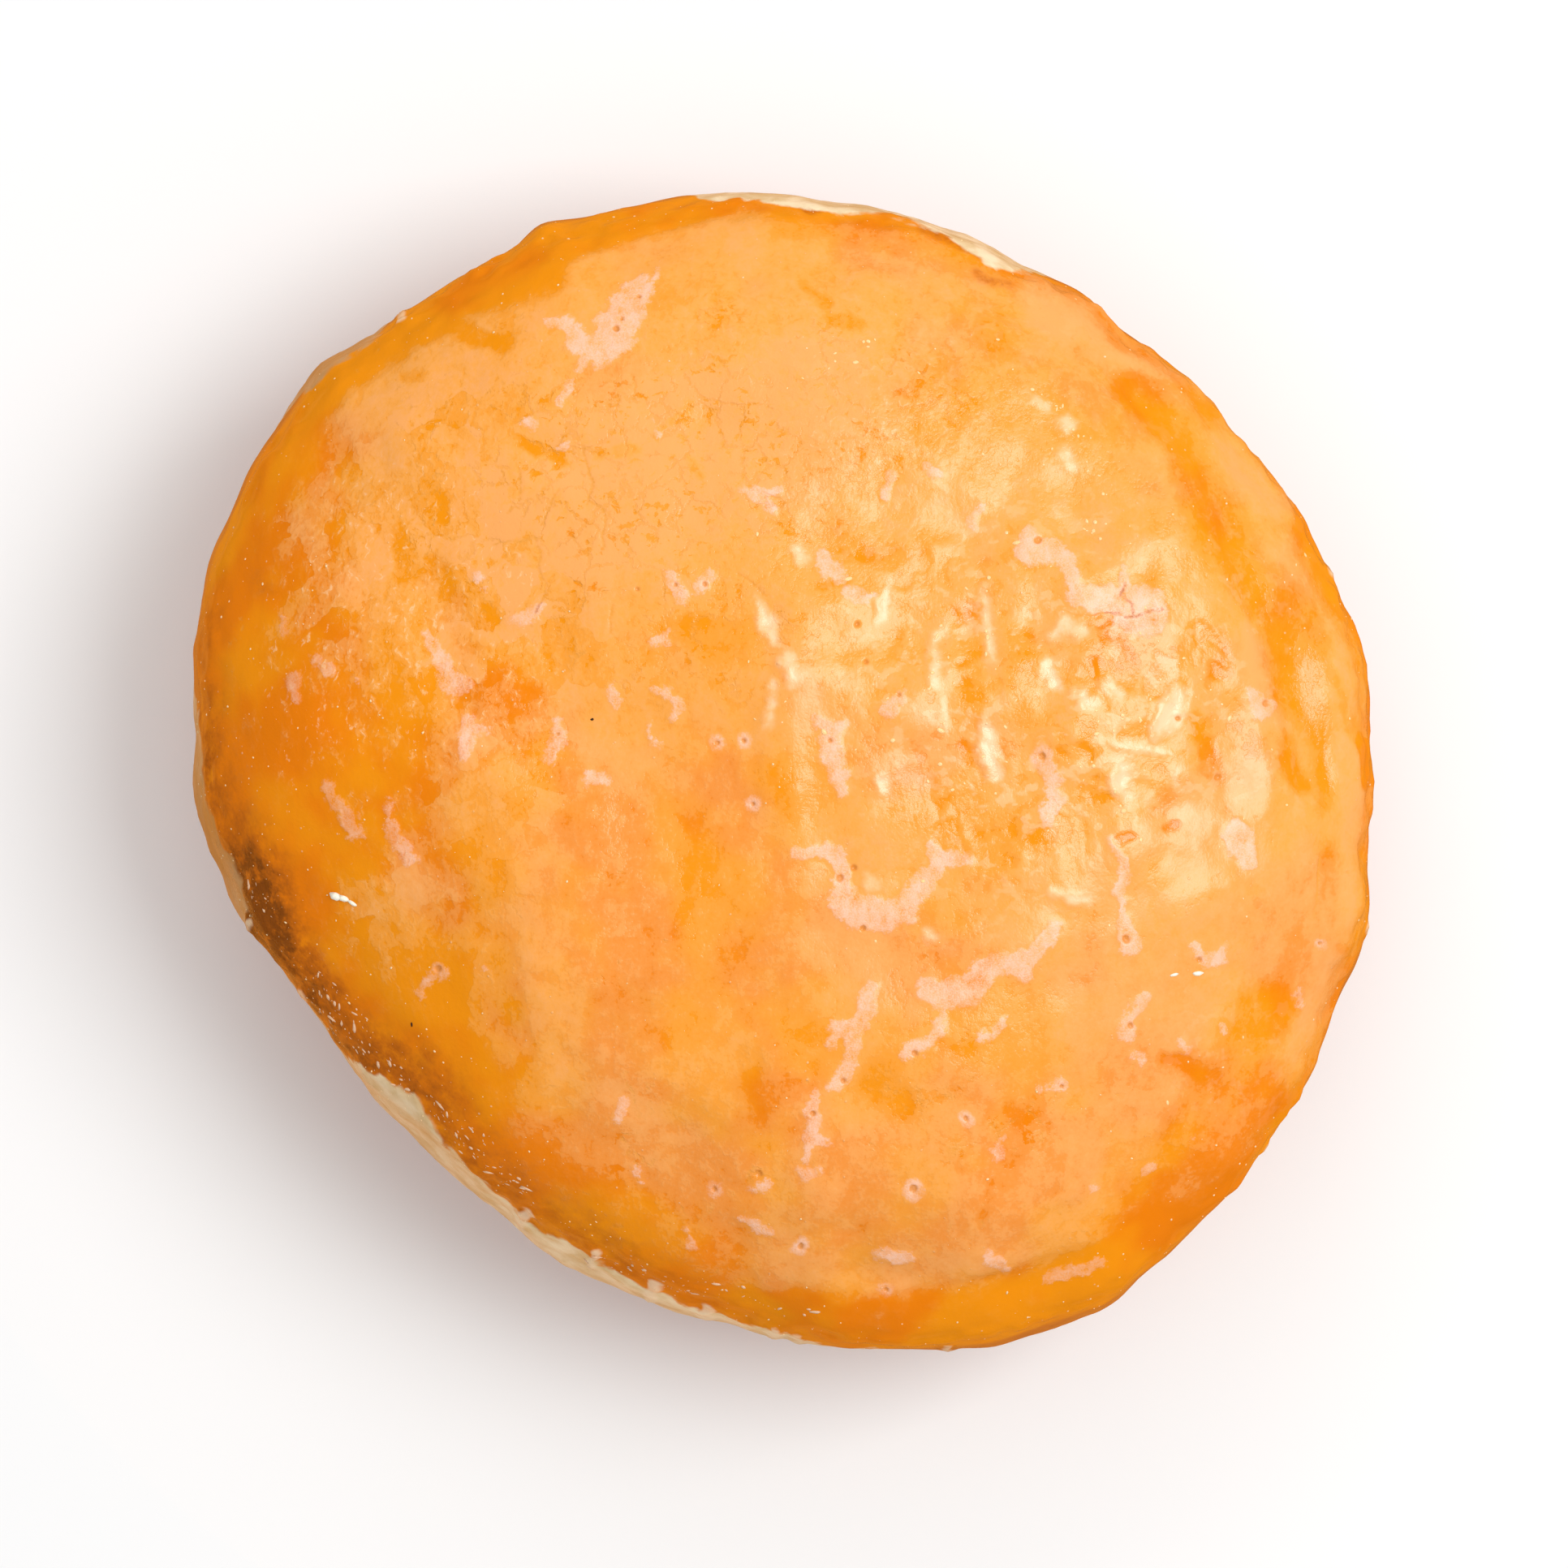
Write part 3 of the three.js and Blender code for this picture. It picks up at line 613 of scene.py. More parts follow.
def layers(points, name):
    """The layers of one of the NOISES, added up."""
    return sum(share * noise_at(points, *layer) for share, *layer in NOISES[name])


def shifts(points, size, seeds):
    """Noise in two directions, to pull marks about with."""
    return np.stack([noise_at(points, size, seed) for seed in seeds], 1)


def distance_to_stroke(flat, stroke):
    """Distance to a stroke's edge seen from above, negative inside it."""
    nearest = np.full(len(flat), np.inf)
    for (x0, y0, r0), (x1, y1, r1) in zip(stroke, stroke[1:]):
        start = np.array((x0, y0))
        run = np.array((x1, y1)) - start
        along = np.clip((flat - start) @ run / (run @ run), 0, 1)
        away = np.linalg.norm(flat - start - along[:, None] * run, axis=1)
        nearest = np.minimum(nearest, away - (r0 + (r1 - r0) * along))
    return nearest


def distance_to_strokes(flat, strokes):
    return np.minimum(FAR, np.min([distance_to_stroke(flat, stroke) for stroke in strokes], axis=0))


def distance_to_holes(flat, holes):
    """Distance to the nearest edge of holes, each x, y, a radius and, if it counts, its ring's width."""
    nearest = np.full(len(flat), FAR)
    for x, y, *widths in holes:
        nearest = np.minimum(nearest, np.linalg.norm(flat - (x, y), axis=1) - sum(widths))
    return nearest


def faded_strokes(flat, strokes):
    """The strengths of strokes, each faded over its own softness at its edge, added up."""
    total = np.zeros(len(flat))
    for strength, soft, stroke in strokes:
        total += strength * fade(-0.5 * soft, soft, distance_to_stroke(flat, stroke))
    return total


def turn_of(points):
    return np.degrees(np.arctan2(points[:, 1], points[:, 0])) % 360


def apart(turn, at):
    """How many degrees turns are past another, from -180 to 180."""
    return (turn - at + 540) % 360 - 180


def swells(turn, table):
    """Rounded swells around the doughnut, each with its turn, reach and height, added up."""
    return sum(height * bell(apart(turn, at), reach) for at, reach, height in table)


def around(turn, table):
    """Values given at some turns, and between them in proportion."""
    turns, values = zip(*table)
    return np.interp(turn, turns, values, period=360)


def behind_outline(points):
    """How far each point is inside the outline that the surface shows from above."""
    turn = turn_of(points)
    radius = np.linalg.norm(points[:, :2], axis=1)
    outline = np.zeros(360)
    np.maximum.at(outline, turn.astype(int) % 360, radius)
    return np.interp(turn, np.arange(360) + 0.5, outline, period=360) - radius


def as_seen(points):
    """Where points show from the camera, as places at the widest level."""
    nearer = (CAMERA_HEIGHT - WIDEST_LEVEL) / (CAMERA_HEIGHT - points[:, 2:])
    return FRAME_MIDDLE + (points[:, :2] - FRAME_MIDDLE) * nearer


def patches_at(points, patches):
    """The amounts of round patches on the crown, each faded over its reach, added up to one at most."""
    flat = as_seen(points)
    total = np.zeros(len(points))
    for x, y, reach, amount in patches:
        total += amount * bell(np.linalg.norm(flat - (x, y), axis=1), reach)
    return np.minimum(1.0, total) * smooth_step(MARKS_FROM, PATCHES_WHOLE, points[:, 2])


def refined_surface(node):
    """The CAD surface with triangles of 1 mm below, 0.5 mm above, and down to 0.12 mm at small marks."""
    points, triangles = loop_subdivide(*cad_surface(node))

    def upper_part(middles):
        return middles[:, 2] > FINER_FROM

    def near_marks(middles):
        flat = as_seen(middles)
        near = distance_to_strokes(flat, FLAKES + LUMPS_AND_HIGHLIGHTS + THIN_LINES) < NEAR_STROKE
        near |= distance_to_holes(flat, PINHOLES + RINGED_PINHOLES) < NEAR_PINHOLE
        near |= patches_at(middles, RUGGED) > SPLIT_RUGGED
        return near & (middles[:, 2] > MARKS_FROM)

    def at_edges(middles):
        flat = as_seen(middles)
        close = np.abs(distance_to_holes(flat, HOLES)) < AT_PINHOLE_EDGE
        close |= distance_to_strokes(flat, THIN_LINES) < AT_CRACK
        return close & (middles[:, 2] > MARKS_FROM)

    for wanted in (upper_part, near_marks, at_edges):
        points, triangles = split_edges(points, triangles, wanted)
    return points, triangles


def surface_marks(points, facing_up):
    """The fields that the relief and the material share, one value for each point."""
    turn = turn_of(points)
    level = points[:, 2]
    flat = as_seen(points)
    crown = smooth_step(CROWN_FROM, CROWN_WHOLE, level)
    wide = shifts(points, 4.5, (31.3, 47.9))
    small = shifts(points, 1.2, (23.4, 62.8))
    loose = flat + 0.8 * wide + 0.35 * small
    close = flat + 0.3 * small

    # Belt, and the browned crust beside it
    ragged = layers(points, "belt edge")
    shows = around(turn, BELT_SHOWS)
    inside = np.where(level > WIDEST_LEVEL, behind_outline(points), level - WIDEST_LEVEL)
    belt_top = shows - inside + 0.32 * ragged
    belt_bottom = level - (BELT_LOWEST + 0.6 * ragged)
    browned = around(turn, BROWNED) * smooth_step(BROWNED_REACH, 0, -belt_top)

    # Film of set glaze, thinner in pits and where the surface is steep
    rugged, wispy, crinkled = (patches_at(points, patches) for patches in (RUGGED, WISPY, CRINKLED))
    pits = rugged * smooth_step(-0.1, -0.4, layers(points, "pits"))
    film = 0.45 - faded_strokes(loose, CLEAR) + faded_strokes(loose, THICK)
    film += layers(points, "film")
    film += (0.2 + 0.15 * wispy) * layers(points, "streaks")
    film += 0.2 * rugged - 0.35 * pits - 0.9 * smooth_step(0.72, 0.4, facing_up)
    golden = layers(points, "golden") + 0.5 * rugged + swells(turn, GOLDEN) + 0.5 * crinkled

    # Distances to the edges of the marks on the crown, and of the drips
    marks = {
        "flake": distance_to_strokes(close, FLAKES) + layers(points, "flake edge"),
        "lump": distance_to_strokes(close, LUMPS_AND_HIGHLIGHTS) + layers(points, "lump edge"),
        "crack": distance_to_strokes(flat + 0.25 * small, THIN_LINES),
        "hole": distance_to_holes(flat + 0.12 * small, HOLES),
        "ring": distance_to_holes(close, RINGED_PINHOLES),
    }
    farther_right = distance_to_strokes(close + (LUMP_LEAN, 0), LUMPS_AND_HIGHLIGHTS) - marks["lump"]
    for distance in marks.values():
        distance[level < MARKS_FROM] = FAR
    drip = np.full(len(points), FAR)
    radius = np.linalg.norm(points[:, :2], axis=1)
    for at, top, bottom, half_width in DRIPS:
        aside = np.radians(apart(turn, at)) * radius
        past = np.maximum(0, np.maximum(level - top, bottom - level))
        drip = np.minimum(drip, np.hypot(aside + 0.5 * small[:, 0], past) - half_width)
    return marks | {
        "lump_side": 0.6 - 0.6 * farther_right / LUMP_LEAN,
        "drip": drip,
        "belt": np.minimum(belt_top, belt_bottom),
        "bulge": BELT_BULGES * np.maximum(0, shows),
        "amber": swells(turn, AMBER),
        "film": np.where(crown > 0, film, -1) * crown - (1 - crown),
        "scorch": (faded_strokes(loose, SCORCHED) + browned) * (level > SCORCH_FROM),
        "golden": golden,
        "wispy": wispy,
        "creased": patches_at(points, CREASED) + layers(points, "creased"),
        "crinkled": crinkled,
        "rugged": rugged,
        "rough": 0.4 * rugged + 0.6 * pits,
        "pits": pits,
        "crown": crown,
    }


def relief(points, marks, facing_up):
    """How far the fine surface stands out from the smooth one."""
    pits = marks["pits"]
    film = smooth_step(-0.15, 0.25, marks["film"])
    bumps = layers(points, "rugged glaze") - 0.07 * pits
    bumps += 0.04 * layers(points, "grooves") * (0.4 + 0.6 * pits)
    rim = smooth_step(0.75, 0.35, facing_up) * marks["crown"]
    crags = rim * layers(points, "rim") + marks["scorch"] * layers(points, "browned crust")
    in_belt = smooth_step(-0.3, 0.5, marks["belt"])
    out = layers(points, "smooth glaze") * (0.5 + 0.3 * film)
    out += marks["rugged"] * bumps
    out += crags * (1 - in_belt)
    out += swells(turn_of(points), RIM_SWELLS) * bell(points[:, 2] - WIDEST_LEVEL, RIM_HEIGHT)
    out += FILM_STANDS * film + in_belt * (layers(points, "belt") - BELT_DEPTH + marks["bulge"])
    out += FLAKE_STANDS * fade(-0.25, 0.15, marks["flake"])
    out += LUMP_STANDS * fade(-0.45, 0.35, marks["lump"]) * marks["lump_side"]
    out += DRIP_STANDS * fade(-0.5, 0.35, marks["drip"])
    out -= PINHOLE_DEPTH * fade(-0.2, 0.08, marks["hole"])
    out -= CRACK_DEPTH * fade(0.0, 0.2, marks["crack"])
    return out


def new_piece(name, points, faces, material):
    """A visible piece of the doughnut, from points in millimetres."""
    mesh = bpy.data.meshes.new(name)
    mesh.from_pydata(points * MM, [], faces.tolist())
    mesh.shade_smooth()
    mesh.materials.append(material)
    piece = bpy.data.objects.new(name, mesh)
    bpy.context.scene.collection.objects.link(piece)
    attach(piece, "root")
    return piece


def make_doughnut():
    points, triangles = refined_surface("doughnut")
    normals = vertex_normals(points, triangles)
    marks = surface_marks(points, normals[:, 2])
    points = points + normals * relief(points, marks, normals[:, 2])[:, None]
    points[:, 2] = np.maximum(points[:, 2], 0)
    piece = new_piece("glazed_doughnut", points, triangles, glazed_material())
    for name, values in marks.items():
        if name not in RELIEF_ONLY:
            field = piece.data.attributes.new(name, "FLOAT", "POINT")
            field.data.foreach_set("value", values.astype(np.float32))
    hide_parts("doughnut")
    return points, triangles, marks


def make_crumbs(name, crumbs, material, seed, rounds=1, uneven=0.22):
    """Small uneven lumps, each given as a point, its normal, its length, width and height, and its turn."""
    draw = np.random.default_rng(seed)
    ball = bmesh.new()
    bmesh.ops.create_icosphere(ball, subdivisions=rounds, radius=1)
    corners = np.array([v.co for v in ball.verts])
    triangles = np.array([[v.index for v in f.verts] for f in ball.faces])
    ball.free()
    points, faces = [], []
    for place, normal, size, turn in crumbs:
        shape = corners * (1 + draw.uniform(-uneven, uneven, (len(corners), 1))) * size
        upright = Vector((0, 0, 1)).rotation_difference(Vector(normal)).to_matrix()
        cosine, sine = math.cos(turn), math.sin(turn)
        spin = np.array([[cosine, -sine, 0], [sine, cosine, 0], [0, 0, 1]])
        faces.append(triangles + len(points) * len(corners))
        points.append(place + shape @ (np.array(upright) @ spin).T)
    new_piece(name, np.concatenate(points), np.concatenate(faces), material)


def placed_by_hand(surface, crumbs):
    """Crumbs given as the camera sees them, set down on the surface."""
    eye = Vector((*FRAME_MIDDLE, CAMERA_HEIGHT))
    placed = []
    for x, y, half_length, half_width, turn in crumbs:
        place, normal, _, _ = surface.ray_cast(eye, Vector((x, y, WIDEST_LEVEL)) - eye)
        size = (half_length, half_width, half_width * PLACED_HEIGHT)
        placed.append((np.array(place), normal, size, math.radians(turn)))
    return placed


def scattered(points, triangles, weights, count, sizes, seed, longest=1.6, height=0.6, stray=math.pi):
    """Crumbs strewn where the weights are high, most of them small: up to `longest` times as long as wide,
    `height` times as high, and turned along the rim or astray from it by up to `stray`."""
    draw = np.random.default_rng(seed)
    corners = points[triangles]
    facing = np.cross(corners[:, 1] - corners[:, 0], corners[:, 2] - corners[:, 0])
    area = np.linalg.norm(facing, axis=1)
    chance = area * weights[triangles].mean(1)
    chosen = draw.choice(len(triangles), count, p=chance / chance.sum())
    placed = []
    for n in chosen:
        place = draw.dirichlet((1, 1, 1)) @ corners[n]
        radius = sizes[0] + (sizes[1] - sizes[0]) * draw.random() ** 3
        size = radius * np.array((draw.uniform(0.8, longest), 1, height))
        along_rim = math.atan2(place[1], place[0]) + math.pi / 2
        placed.append((place, facing[n] / area[n], size, along_rim + draw.uniform(-stray, stray)))
    return placed


# Materials

class Shader:
    """Small helper for building a material's nodes."""

    def __init__(self, name):
        self.material = bpy.data.materials.new(name)
        self.material.use_nodes = True
        self.tree = self.material.node_tree
        self.tree.nodes.clear()

    def add(self, kind, inputs, output=0, **settings):
        node = self.tree.nodes.new(kind)
        for name, value in settings.items():
            setattr(node, name, value)
        for name, value in inputs.items():
            if isinstance(value, bpy.types.NodeSocket):
                self.tree.links.new(value, node.inputs[name])
            else:
                node.inputs[name].default_value = value
        return node if output is None else node.outputs[output]

    def mark(self, name):
        return self.add("ShaderNodeAttribute", {}, "Fac", attribute_name=name)

    def math(self, operation, *values):
        return self.add("ShaderNodeMath", dict(enumerate(values)), operation=operation)

    def sum(self, *values):
        return reduce(partial(self.math, "ADD"), values)

    def times(self, *values):
        return reduce(partial(self.math, "MULTIPLY"), values)

    def ramp(self, value, low, high, start=0.0, end=1.0):
        """A smooth step from `start` where value is low to `end` where it is high."""
        inputs = {"Value": value, "From Min": low, "From Max": high, "To Min": start, "To Max": end}
        return self.add("ShaderNodeMapRange", inputs, interpolation_type="SMOOTHSTEP")

    def fade(self, value, low, high, start=1.0):
        """A smooth step from `start` where value is low to nothing where it is high."""
        return self.ramp(value, low, high, start, 0.0)

    def with_noise(self, name, *noises):
        """A field of the mesh, with shares of noises added."""
        return self.sum(self.mark(name), *[self.times(noise, share) for noise, share in noises])

    def coordinates(self):
        """Places on the piece in millimetres."""
        place = self.add("ShaderNodeTexCoord", {}, "Object")
        return self.add("ShaderNodeVectorMath", {0: place, "Scale": 1 / MM}, operation="SCALE")

    def pulled(self, coords, size, reach):
        """Coordinates pulled about by up to half of `reach`, in swirls about `size` across."""
        inputs = {"Vector": coords, "Scale": 1 / size, "Detail": 2.0}
        swirl = self.add("ShaderNodeTexNoise", inputs, "Color")
        pull = self.add("ShaderNodeVectorMath", {0: swirl, 1: (0.5, 0.5, 0.5)}, operation="SUBTRACT")
        inputs = {0: pull, 1: (reach, reach, reach), 2: coords}
        return self.add("ShaderNodeVectorMath", inputs, operation="MULTIPLY_ADD")

    def noise(self, coords, size, detail=3.0, roughness=0.55, stretch=(1, 1, 1)):
        """Noise from -1 to 1, with swells about `size` millimetres across."""
        squeeze = tuple(1 / (size * side) for side in stretch)
        inputs = {"Vector": coords, "Scale": squeeze, "Location": (size * NOISE_SHIFT,) * 3}
        place = self.add("ShaderNodeMapping", inputs)
        inputs = {"Vector": place, "Scale": 1.0, "Detail": detail, "Roughness": roughness}
        inputs = {"Value": self.add("ShaderNodeTexNoise", inputs, "Fac"), "To Min": -1.0, "To Max": 1.0}
        return self.add("ShaderNodeMapRange", inputs, clamp=False)

    def cells(self, coords, size, output, feature="F1"):
        inputs = {"Vector": coords, "Scale": 1 / size}
        return self.add("ShaderNodeTexVoronoi", inputs, output, feature=feature)

    def mix(self, share, first, second):
        inputs = {0: share, 6: first, 7: second}
        return self.add("ShaderNodeMix", inputs, 2, data_type="RGBA")

    def bump(self, height):
        return self.add("ShaderNodeBump", {"Distance": MM, "Height": height})

    def finish(self, inputs):
        surface = self.add("ShaderNodeBsdfPrincipled", inputs)
        self.add("ShaderNodeOutputMaterial", {"Surface": surface}, None)
        return self.material


# Colours of the clear and milky glaze, its marks, the crust, the belt and the crumbs, and of card and floor
DEEP_ORANGE = srgb(236, 126, 2)
GOLD = srgb(241, 144, 6)
PEACH = srgb(246, 163, 84)
YELLOW_PEACH = srgb(247, 166, 74)
PALE_PEACH = srgb(247, 168, 92)
# Pale cream glaze, which on the lumps is partly a painted highlight, and the whiter painted highlight at
# the lumps' core
CREAM_AND_HIGHLIGHT = srgb(253, 213, 166)
LUMP_HIGHLIGHT = srgb(255, 224, 188)
FLAKE = srgb(250, 194, 162)
HOLE = srgb(232, 146, 54)
CREASE = srgb(232, 154, 58)
CRACK = srgb(196, 112, 58)
TOASTED = srgb(206, 108, 12)
BROWN = srgb(142, 74, 14)
BELT = srgb(250, 226, 186)
BELT_SHADE = srgb(226, 194, 142)
AMBER_BELT = srgb(186, 118, 34)
DRIP = srgb(248, 218, 180)
SUGAR = srgb(250, 210, 158)
# Pale colour of the glinting crumbs, partly a painted highlight, also used for the grains at the flakes'
# cores
GLINT = srgb(234, 190, 152)
WHITE = srgb(254, 242, 222)
BEAD = srgb(252, 202, 140)
BURNT = srgb(60, 30, 8)
UNDERSIDE = srgb(222, 130, 36)
UNDERSIDE_BROWN = srgb(198, 104, 28)
CARD = srgb(240, 150, 60)
FLOOR = (0.88, 0.88, 0.88, 1)

# Widths of the film's plates and the largest speck, the glaze's gloss, and a crumb's paler side and grain
PLATE = 2.6
LARGEST_SPECK = 0.11
GLAZE_IOR = 1.4
PALER = 1.15
CRUMB_BUMP = 0.02


def glazed_material():
    s = Shader("glazed_crust")
    coords = s.coordinates()
    medium = s.noise(coords, 1.1, roughness=0.65, stretch=(1, 1.4, 1))
    fine = s.noise(coords, 0.3, detail=2.0, roughness=0.6)
    grain = s.noise(coords, 0.13, detail=1.0)
    rugged, wispy, rough = (s.mark(name) for name in ("rugged", "wispy", "rough"))

    # Film: milky where the glaze is thick, in soft plates, mottled, crinkled or in wisps in places
    pulled = s.pulled(s.pulled(coords, 0.7, 0.7), 2.2, 1.6)
    plate = s.add("ShaderNodeSeparateColor", {"Color": s.cells(pulled, PLATE, "Color")}, "Red")
    plates = s.times(s.sum(plate, -0.5), s.ramp(wispy, 0.0, 1.0, 0.2, 0.9))
    wisps = s.times(s.noise(pulled, 0.5, roughness=0.65, stretch=(1, 2.2, 1)), wispy)
    mottle = s.noise(pulled, 1.6, stretch=(1.2, 1, 1))
    ochre = s.ramp(mottle, 0.08, 0.28)
    pale = s.ramp(mottle, -0.08, -0.28)
    marks = s.ramp(s.noise(pulled, 0.9, roughness=0.65, stretch=(1.2, 1, 1)), 0.1, 0.28)
    crinkle = s.times(s.noise(pulled, 0.7, roughness=0.6), s.mark("crinkled"))
    film_level = s.sum(
        s.mark("film"),
        plates,
        s.times(medium, 0.62),
        s.times(mottle, 0.25),
        s.times(fine, 0.3),
        s.times(wisps, 1.15),
        s.times(marks, s.ramp(s.mark("creased"), 0.3, 1.2), -1.0),
        s.times(ochre, rugged, -0.5),
        s.times(crinkle, 0.9),
    )
    haze = s.ramp(film_level, -0.7, 0.9)
    low_edge = s.ramp(film_level, -0.25, -0.05)
    high_edge = s.ramp(film_level, 0.15, 0.4)
    film = s.sum(s.times(haze, 0.57), s.times(low_edge, 0.24), s.times(high_edge, 0.19))

    # Clear glaze over the fried crust
    golden = s.ramp(s.with_noise("golden", (medium, 0.2)), -0.5, 0.5)
    clear = s.mix(golden, DEEP_ORANGE, GOLD)
    milky = s.mix(s.ramp(film_level, 0.3, 1.1), s.mix(golden, PEACH, YELLOW_PEACH), PALE_PEACH)
    colour = s.mix(film, clear, milky)
    colour = s.mix(s.ramp(crinkle, 0.22, 0.5, 0.0, 0.4), colour, CREAM_AND_HIGHLIGHT)
    colour = s.mix(s.times(pale, rugged, 0.36), colour, CREAM_AND_HIGHLIGHT)
    colour = s.mix(s.times(s.ramp(wisps, 0.2, 0.4), 0.4), colour, CREAM_AND_HIGHLIGHT)

    # Creases along the plates, broken into short lines
    from_plate_edge = s.times(s.cells(pulled, PLATE, "Distance", "DISTANCE_TO_EDGE"), PLATE)
    where = s.ramp(s.with_noise("creased", (medium, 1.5)), 0.6, 1.0)
    crease = s.times(s.fade(s.sum(from_plate_edge, s.times(fine, 0.3)), 0.0, 0.22), where)
    colour = s.mix(s.times(crease, 0.45), colour, CREASE)

    # Browned crust, and the fried underside with its soft blotches
    uneven = s.sum(1.0, s.times(mottle, 1.1), s.times(medium, 0.9), s.times(fine, 0.4))
    browned = s.times(s.mark("scorch"), uneven)
    scorch = s.ramp(browned, 0.3, 1.05)
    colour = s.mix(s.ramp(browned, 0.0, 0.5), colour, TOASTED)
    colour = s.mix(scorch, colour, BROWN)
    under = s.fade(s.mark("crown"), 0.0, 0.4)
    blotches = s.sum(s.noise(coords, 7.0, detail=4.0, roughness=0.6), s.times(medium, 0.3))
    colour = s.mix(under, colour, s.mix(s.ramp(blotches, -0.35, 0.3), UNDERSIDE_BROWN, UNDERSIDE))

    # Pale belt, with glaze in milky drips over it
    belt = s.ramp(s.with_noise("belt", (medium, 0.25)), -0.1, 0.2)
    dough = s.mix(s.ramp(s.noise(coords, 2.5), -0.35, 0.35), BELT_SHADE, BELT)
    dough = s.mix(s.times(s.mark("amber"), 0.85), dough, AMBER_BELT)
    colour = s.mix(belt, colour, dough)
    colour = s.mix(s.fade(s.mark("drip"), -0.25, 0.1, 0.75), colour, DRIP)

    # Lumps of glaze, paler partly from thick glaze and partly as a painted highlight, whitest at the core,
    # where the painted highlight stands in for the lamp's reflection
    lump = s.with_noise("lump", (fine, 0.3), (medium, 0.3))
    colour = s.mix(s.fade(lump, -0.5, 0.4, 0.5), colour, CREAM_AND_HIGHLIGHT)
    colour = s.mix(s.fade(lump, -1.0, 0.0, 0.5), colour, LUMP_HIGHLIGHT)

    # Flakes of dried glaze, patchy and grained with sugar, and thinner where the glaze around them is clear
    flake = s.fade(s.with_noise("flake", (fine, 0.5), (medium, 0.5)), -0.3, 0.12)
    ring = s.fade(s.with_noise("ring", (fine, 0.3)), -0.3, 0.15, 0.9)
    dried = s.math("MAXIMUM", flake, ring)
    opaque = s.times(
        s.sum(s.ramp(grain, -0.5, 0.5, 0.42, 0.82), s.times(medium, 1.1)),
        s.ramp(s.mark("film"), -0.6, 0.3, 0.6, 1.0),
    )
    colour = s.mix(s.times(dried, opaque), colour, FLAKE)
    core = s.times(s.fade(s.mark("flake"), -1.2, -0.2, 0.6), s.ramp(grain, 0.1, 0.4))
    colour = s.mix(core, colour, GLINT)

    # Burst bubbles and hairline cracks
    hole = s.fade(s.with_noise("hole", (fine, 0.1)), -0.12, 0.05)
    colour = s.mix(s.times(hole, 0.8), colour, HOLE)
    crack = s.fade(s.with_noise("crack", (fine, 0.2), (medium, 0.15)), 0.0, 0.2, 0.75)
    broken = s.ramp(medium, -0.3, 0.0, 0.35, 1.0)
    colour = s.mix(s.times(crack, broken), colour, s.mix(dried, CREASE, CRACK))

    # Fine sugar specks, of all sizes up to the largest
    specks = s.add("ShaderNodeTexVoronoi", {"Vector": coords, "Scale": 1.0}, None)
    chance = s.add("ShaderNodeSeparateColor", {"Color": specks.outputs["Color"]}, "Red")
    radius = s.ramp(chance, 0.5, 1.0, 0.0, LARGEST_SPECK)
    speck = s.fade(s.math("SUBTRACT", specks.outputs["Distance"], radius), -0.06, 0.02)
    colour = s.mix(s.times(speck, s.ramp(film, 0.0, 1.0, 0.5, 0.25)), colour, CREAM_AND_HIGHLIGHT)

    # Heights in millimetres, for the bump
    height = s.sum(
        s.times(fine, s.sum(s.times(rough, 0.004), 0.006)),
        s.times(medium, s.sum(s.times(rough, 0.012), s.times(scorch, 0.15), 0.03)),
        s.times(low_edge, 0.012),
        s.times(high_edge, 0.012),
        s.times(crinkle, 0.05),
        s.times(crease, -0.025),
        s.times(s.sum(pale, s.times(ochre, -1.0)), rugged, 0.01),
        s.times(dried, s.sum(s.times(grain, 0.015), 0.015)),
        s.times(speck, 0.03),
    )
    roughness = s.sum(
        s.ramp(film, 0.0, 1.0, 0.16, 0.26),
        s.times(dried, 0.15),
        s.times(belt, 0.1),
        s.times(under, 0.1),
    )
    return s.finish({
        "Base Color": colour,
        "Roughness": roughness,
        "Normal": s.bump(height),
        "IOR": GLAZE_IOR,
        "Coat Weight": 0.3,
        "Coat Roughness": 0.16,
        "Coat IOR": GLAZE_IOR,
    })


def crumb_material(name, colour, roughness):
    s = Shader(name)
    coords = s.coordinates()
    paler = tuple(min(1.0, channel * PALER) for channel in colour)
    return s.finish({
        "Base Color": s.mix(s.ramp(s.noise(coords, 0.2, detail=2.0), -0.5, 0.5), colour, paler),
        "Roughness": roughness,
        "Normal": s.bump(s.times(s.noise(coords, 0.12, detail=2.0), CRUMB_BUMP)),
    })


# Studio

def stage_disc(name, radius, level, material):
    """A round level sheet of the studio, which is no part of the doughnut."""
    turns = np.linspace(0, math.tau, DISC_SIDES, endpoint=False)
    rim = np.stack([radius * np.cos(turns), radius * np.sin(turns), np.full(DISC_SIDES, level)], 1)
    mesh = bpy.data.meshes.new(name)
    mesh.from_pydata(rim * MM, [], [list(range(len(rim)))])
    mesh.materials.append(material)
    disc = bpy.data.objects.new(name, mesh)
    bpy.context.scene.collection.objects.link(disc)
    return disc


def add_floor():
    """A round pale floor, which the glaze doesn't mirror."""
    pale = Shader("pale_floor").finish({"Base Color": FLOOR, "Roughness": 0.8})
    stage_disc("floor", FLOOR_RADIUS, 0, pale).visible_glossy = False


def add_card():
    """A warm card around the foot that only gloss shows: without it the steep rim's glaze turns dark."""
    s = Shader("warm_card")
    glow = s.add("ShaderNodeEmission", {"Color": CARD, "Strength": CARD_STRENGTH})
    s.add("ShaderNodeOutputMaterial", {"Surface": glow}, None)
    s.material.cycles.emission_sampling = "NONE"
    card = stage_disc("warm_card", CARD_RADIUS, CARD_LEVEL, s.material)
    for rays in ("camera", "diffuse", "shadow", "transmission"):
        setattr(card, f"visible_{rays}", False)


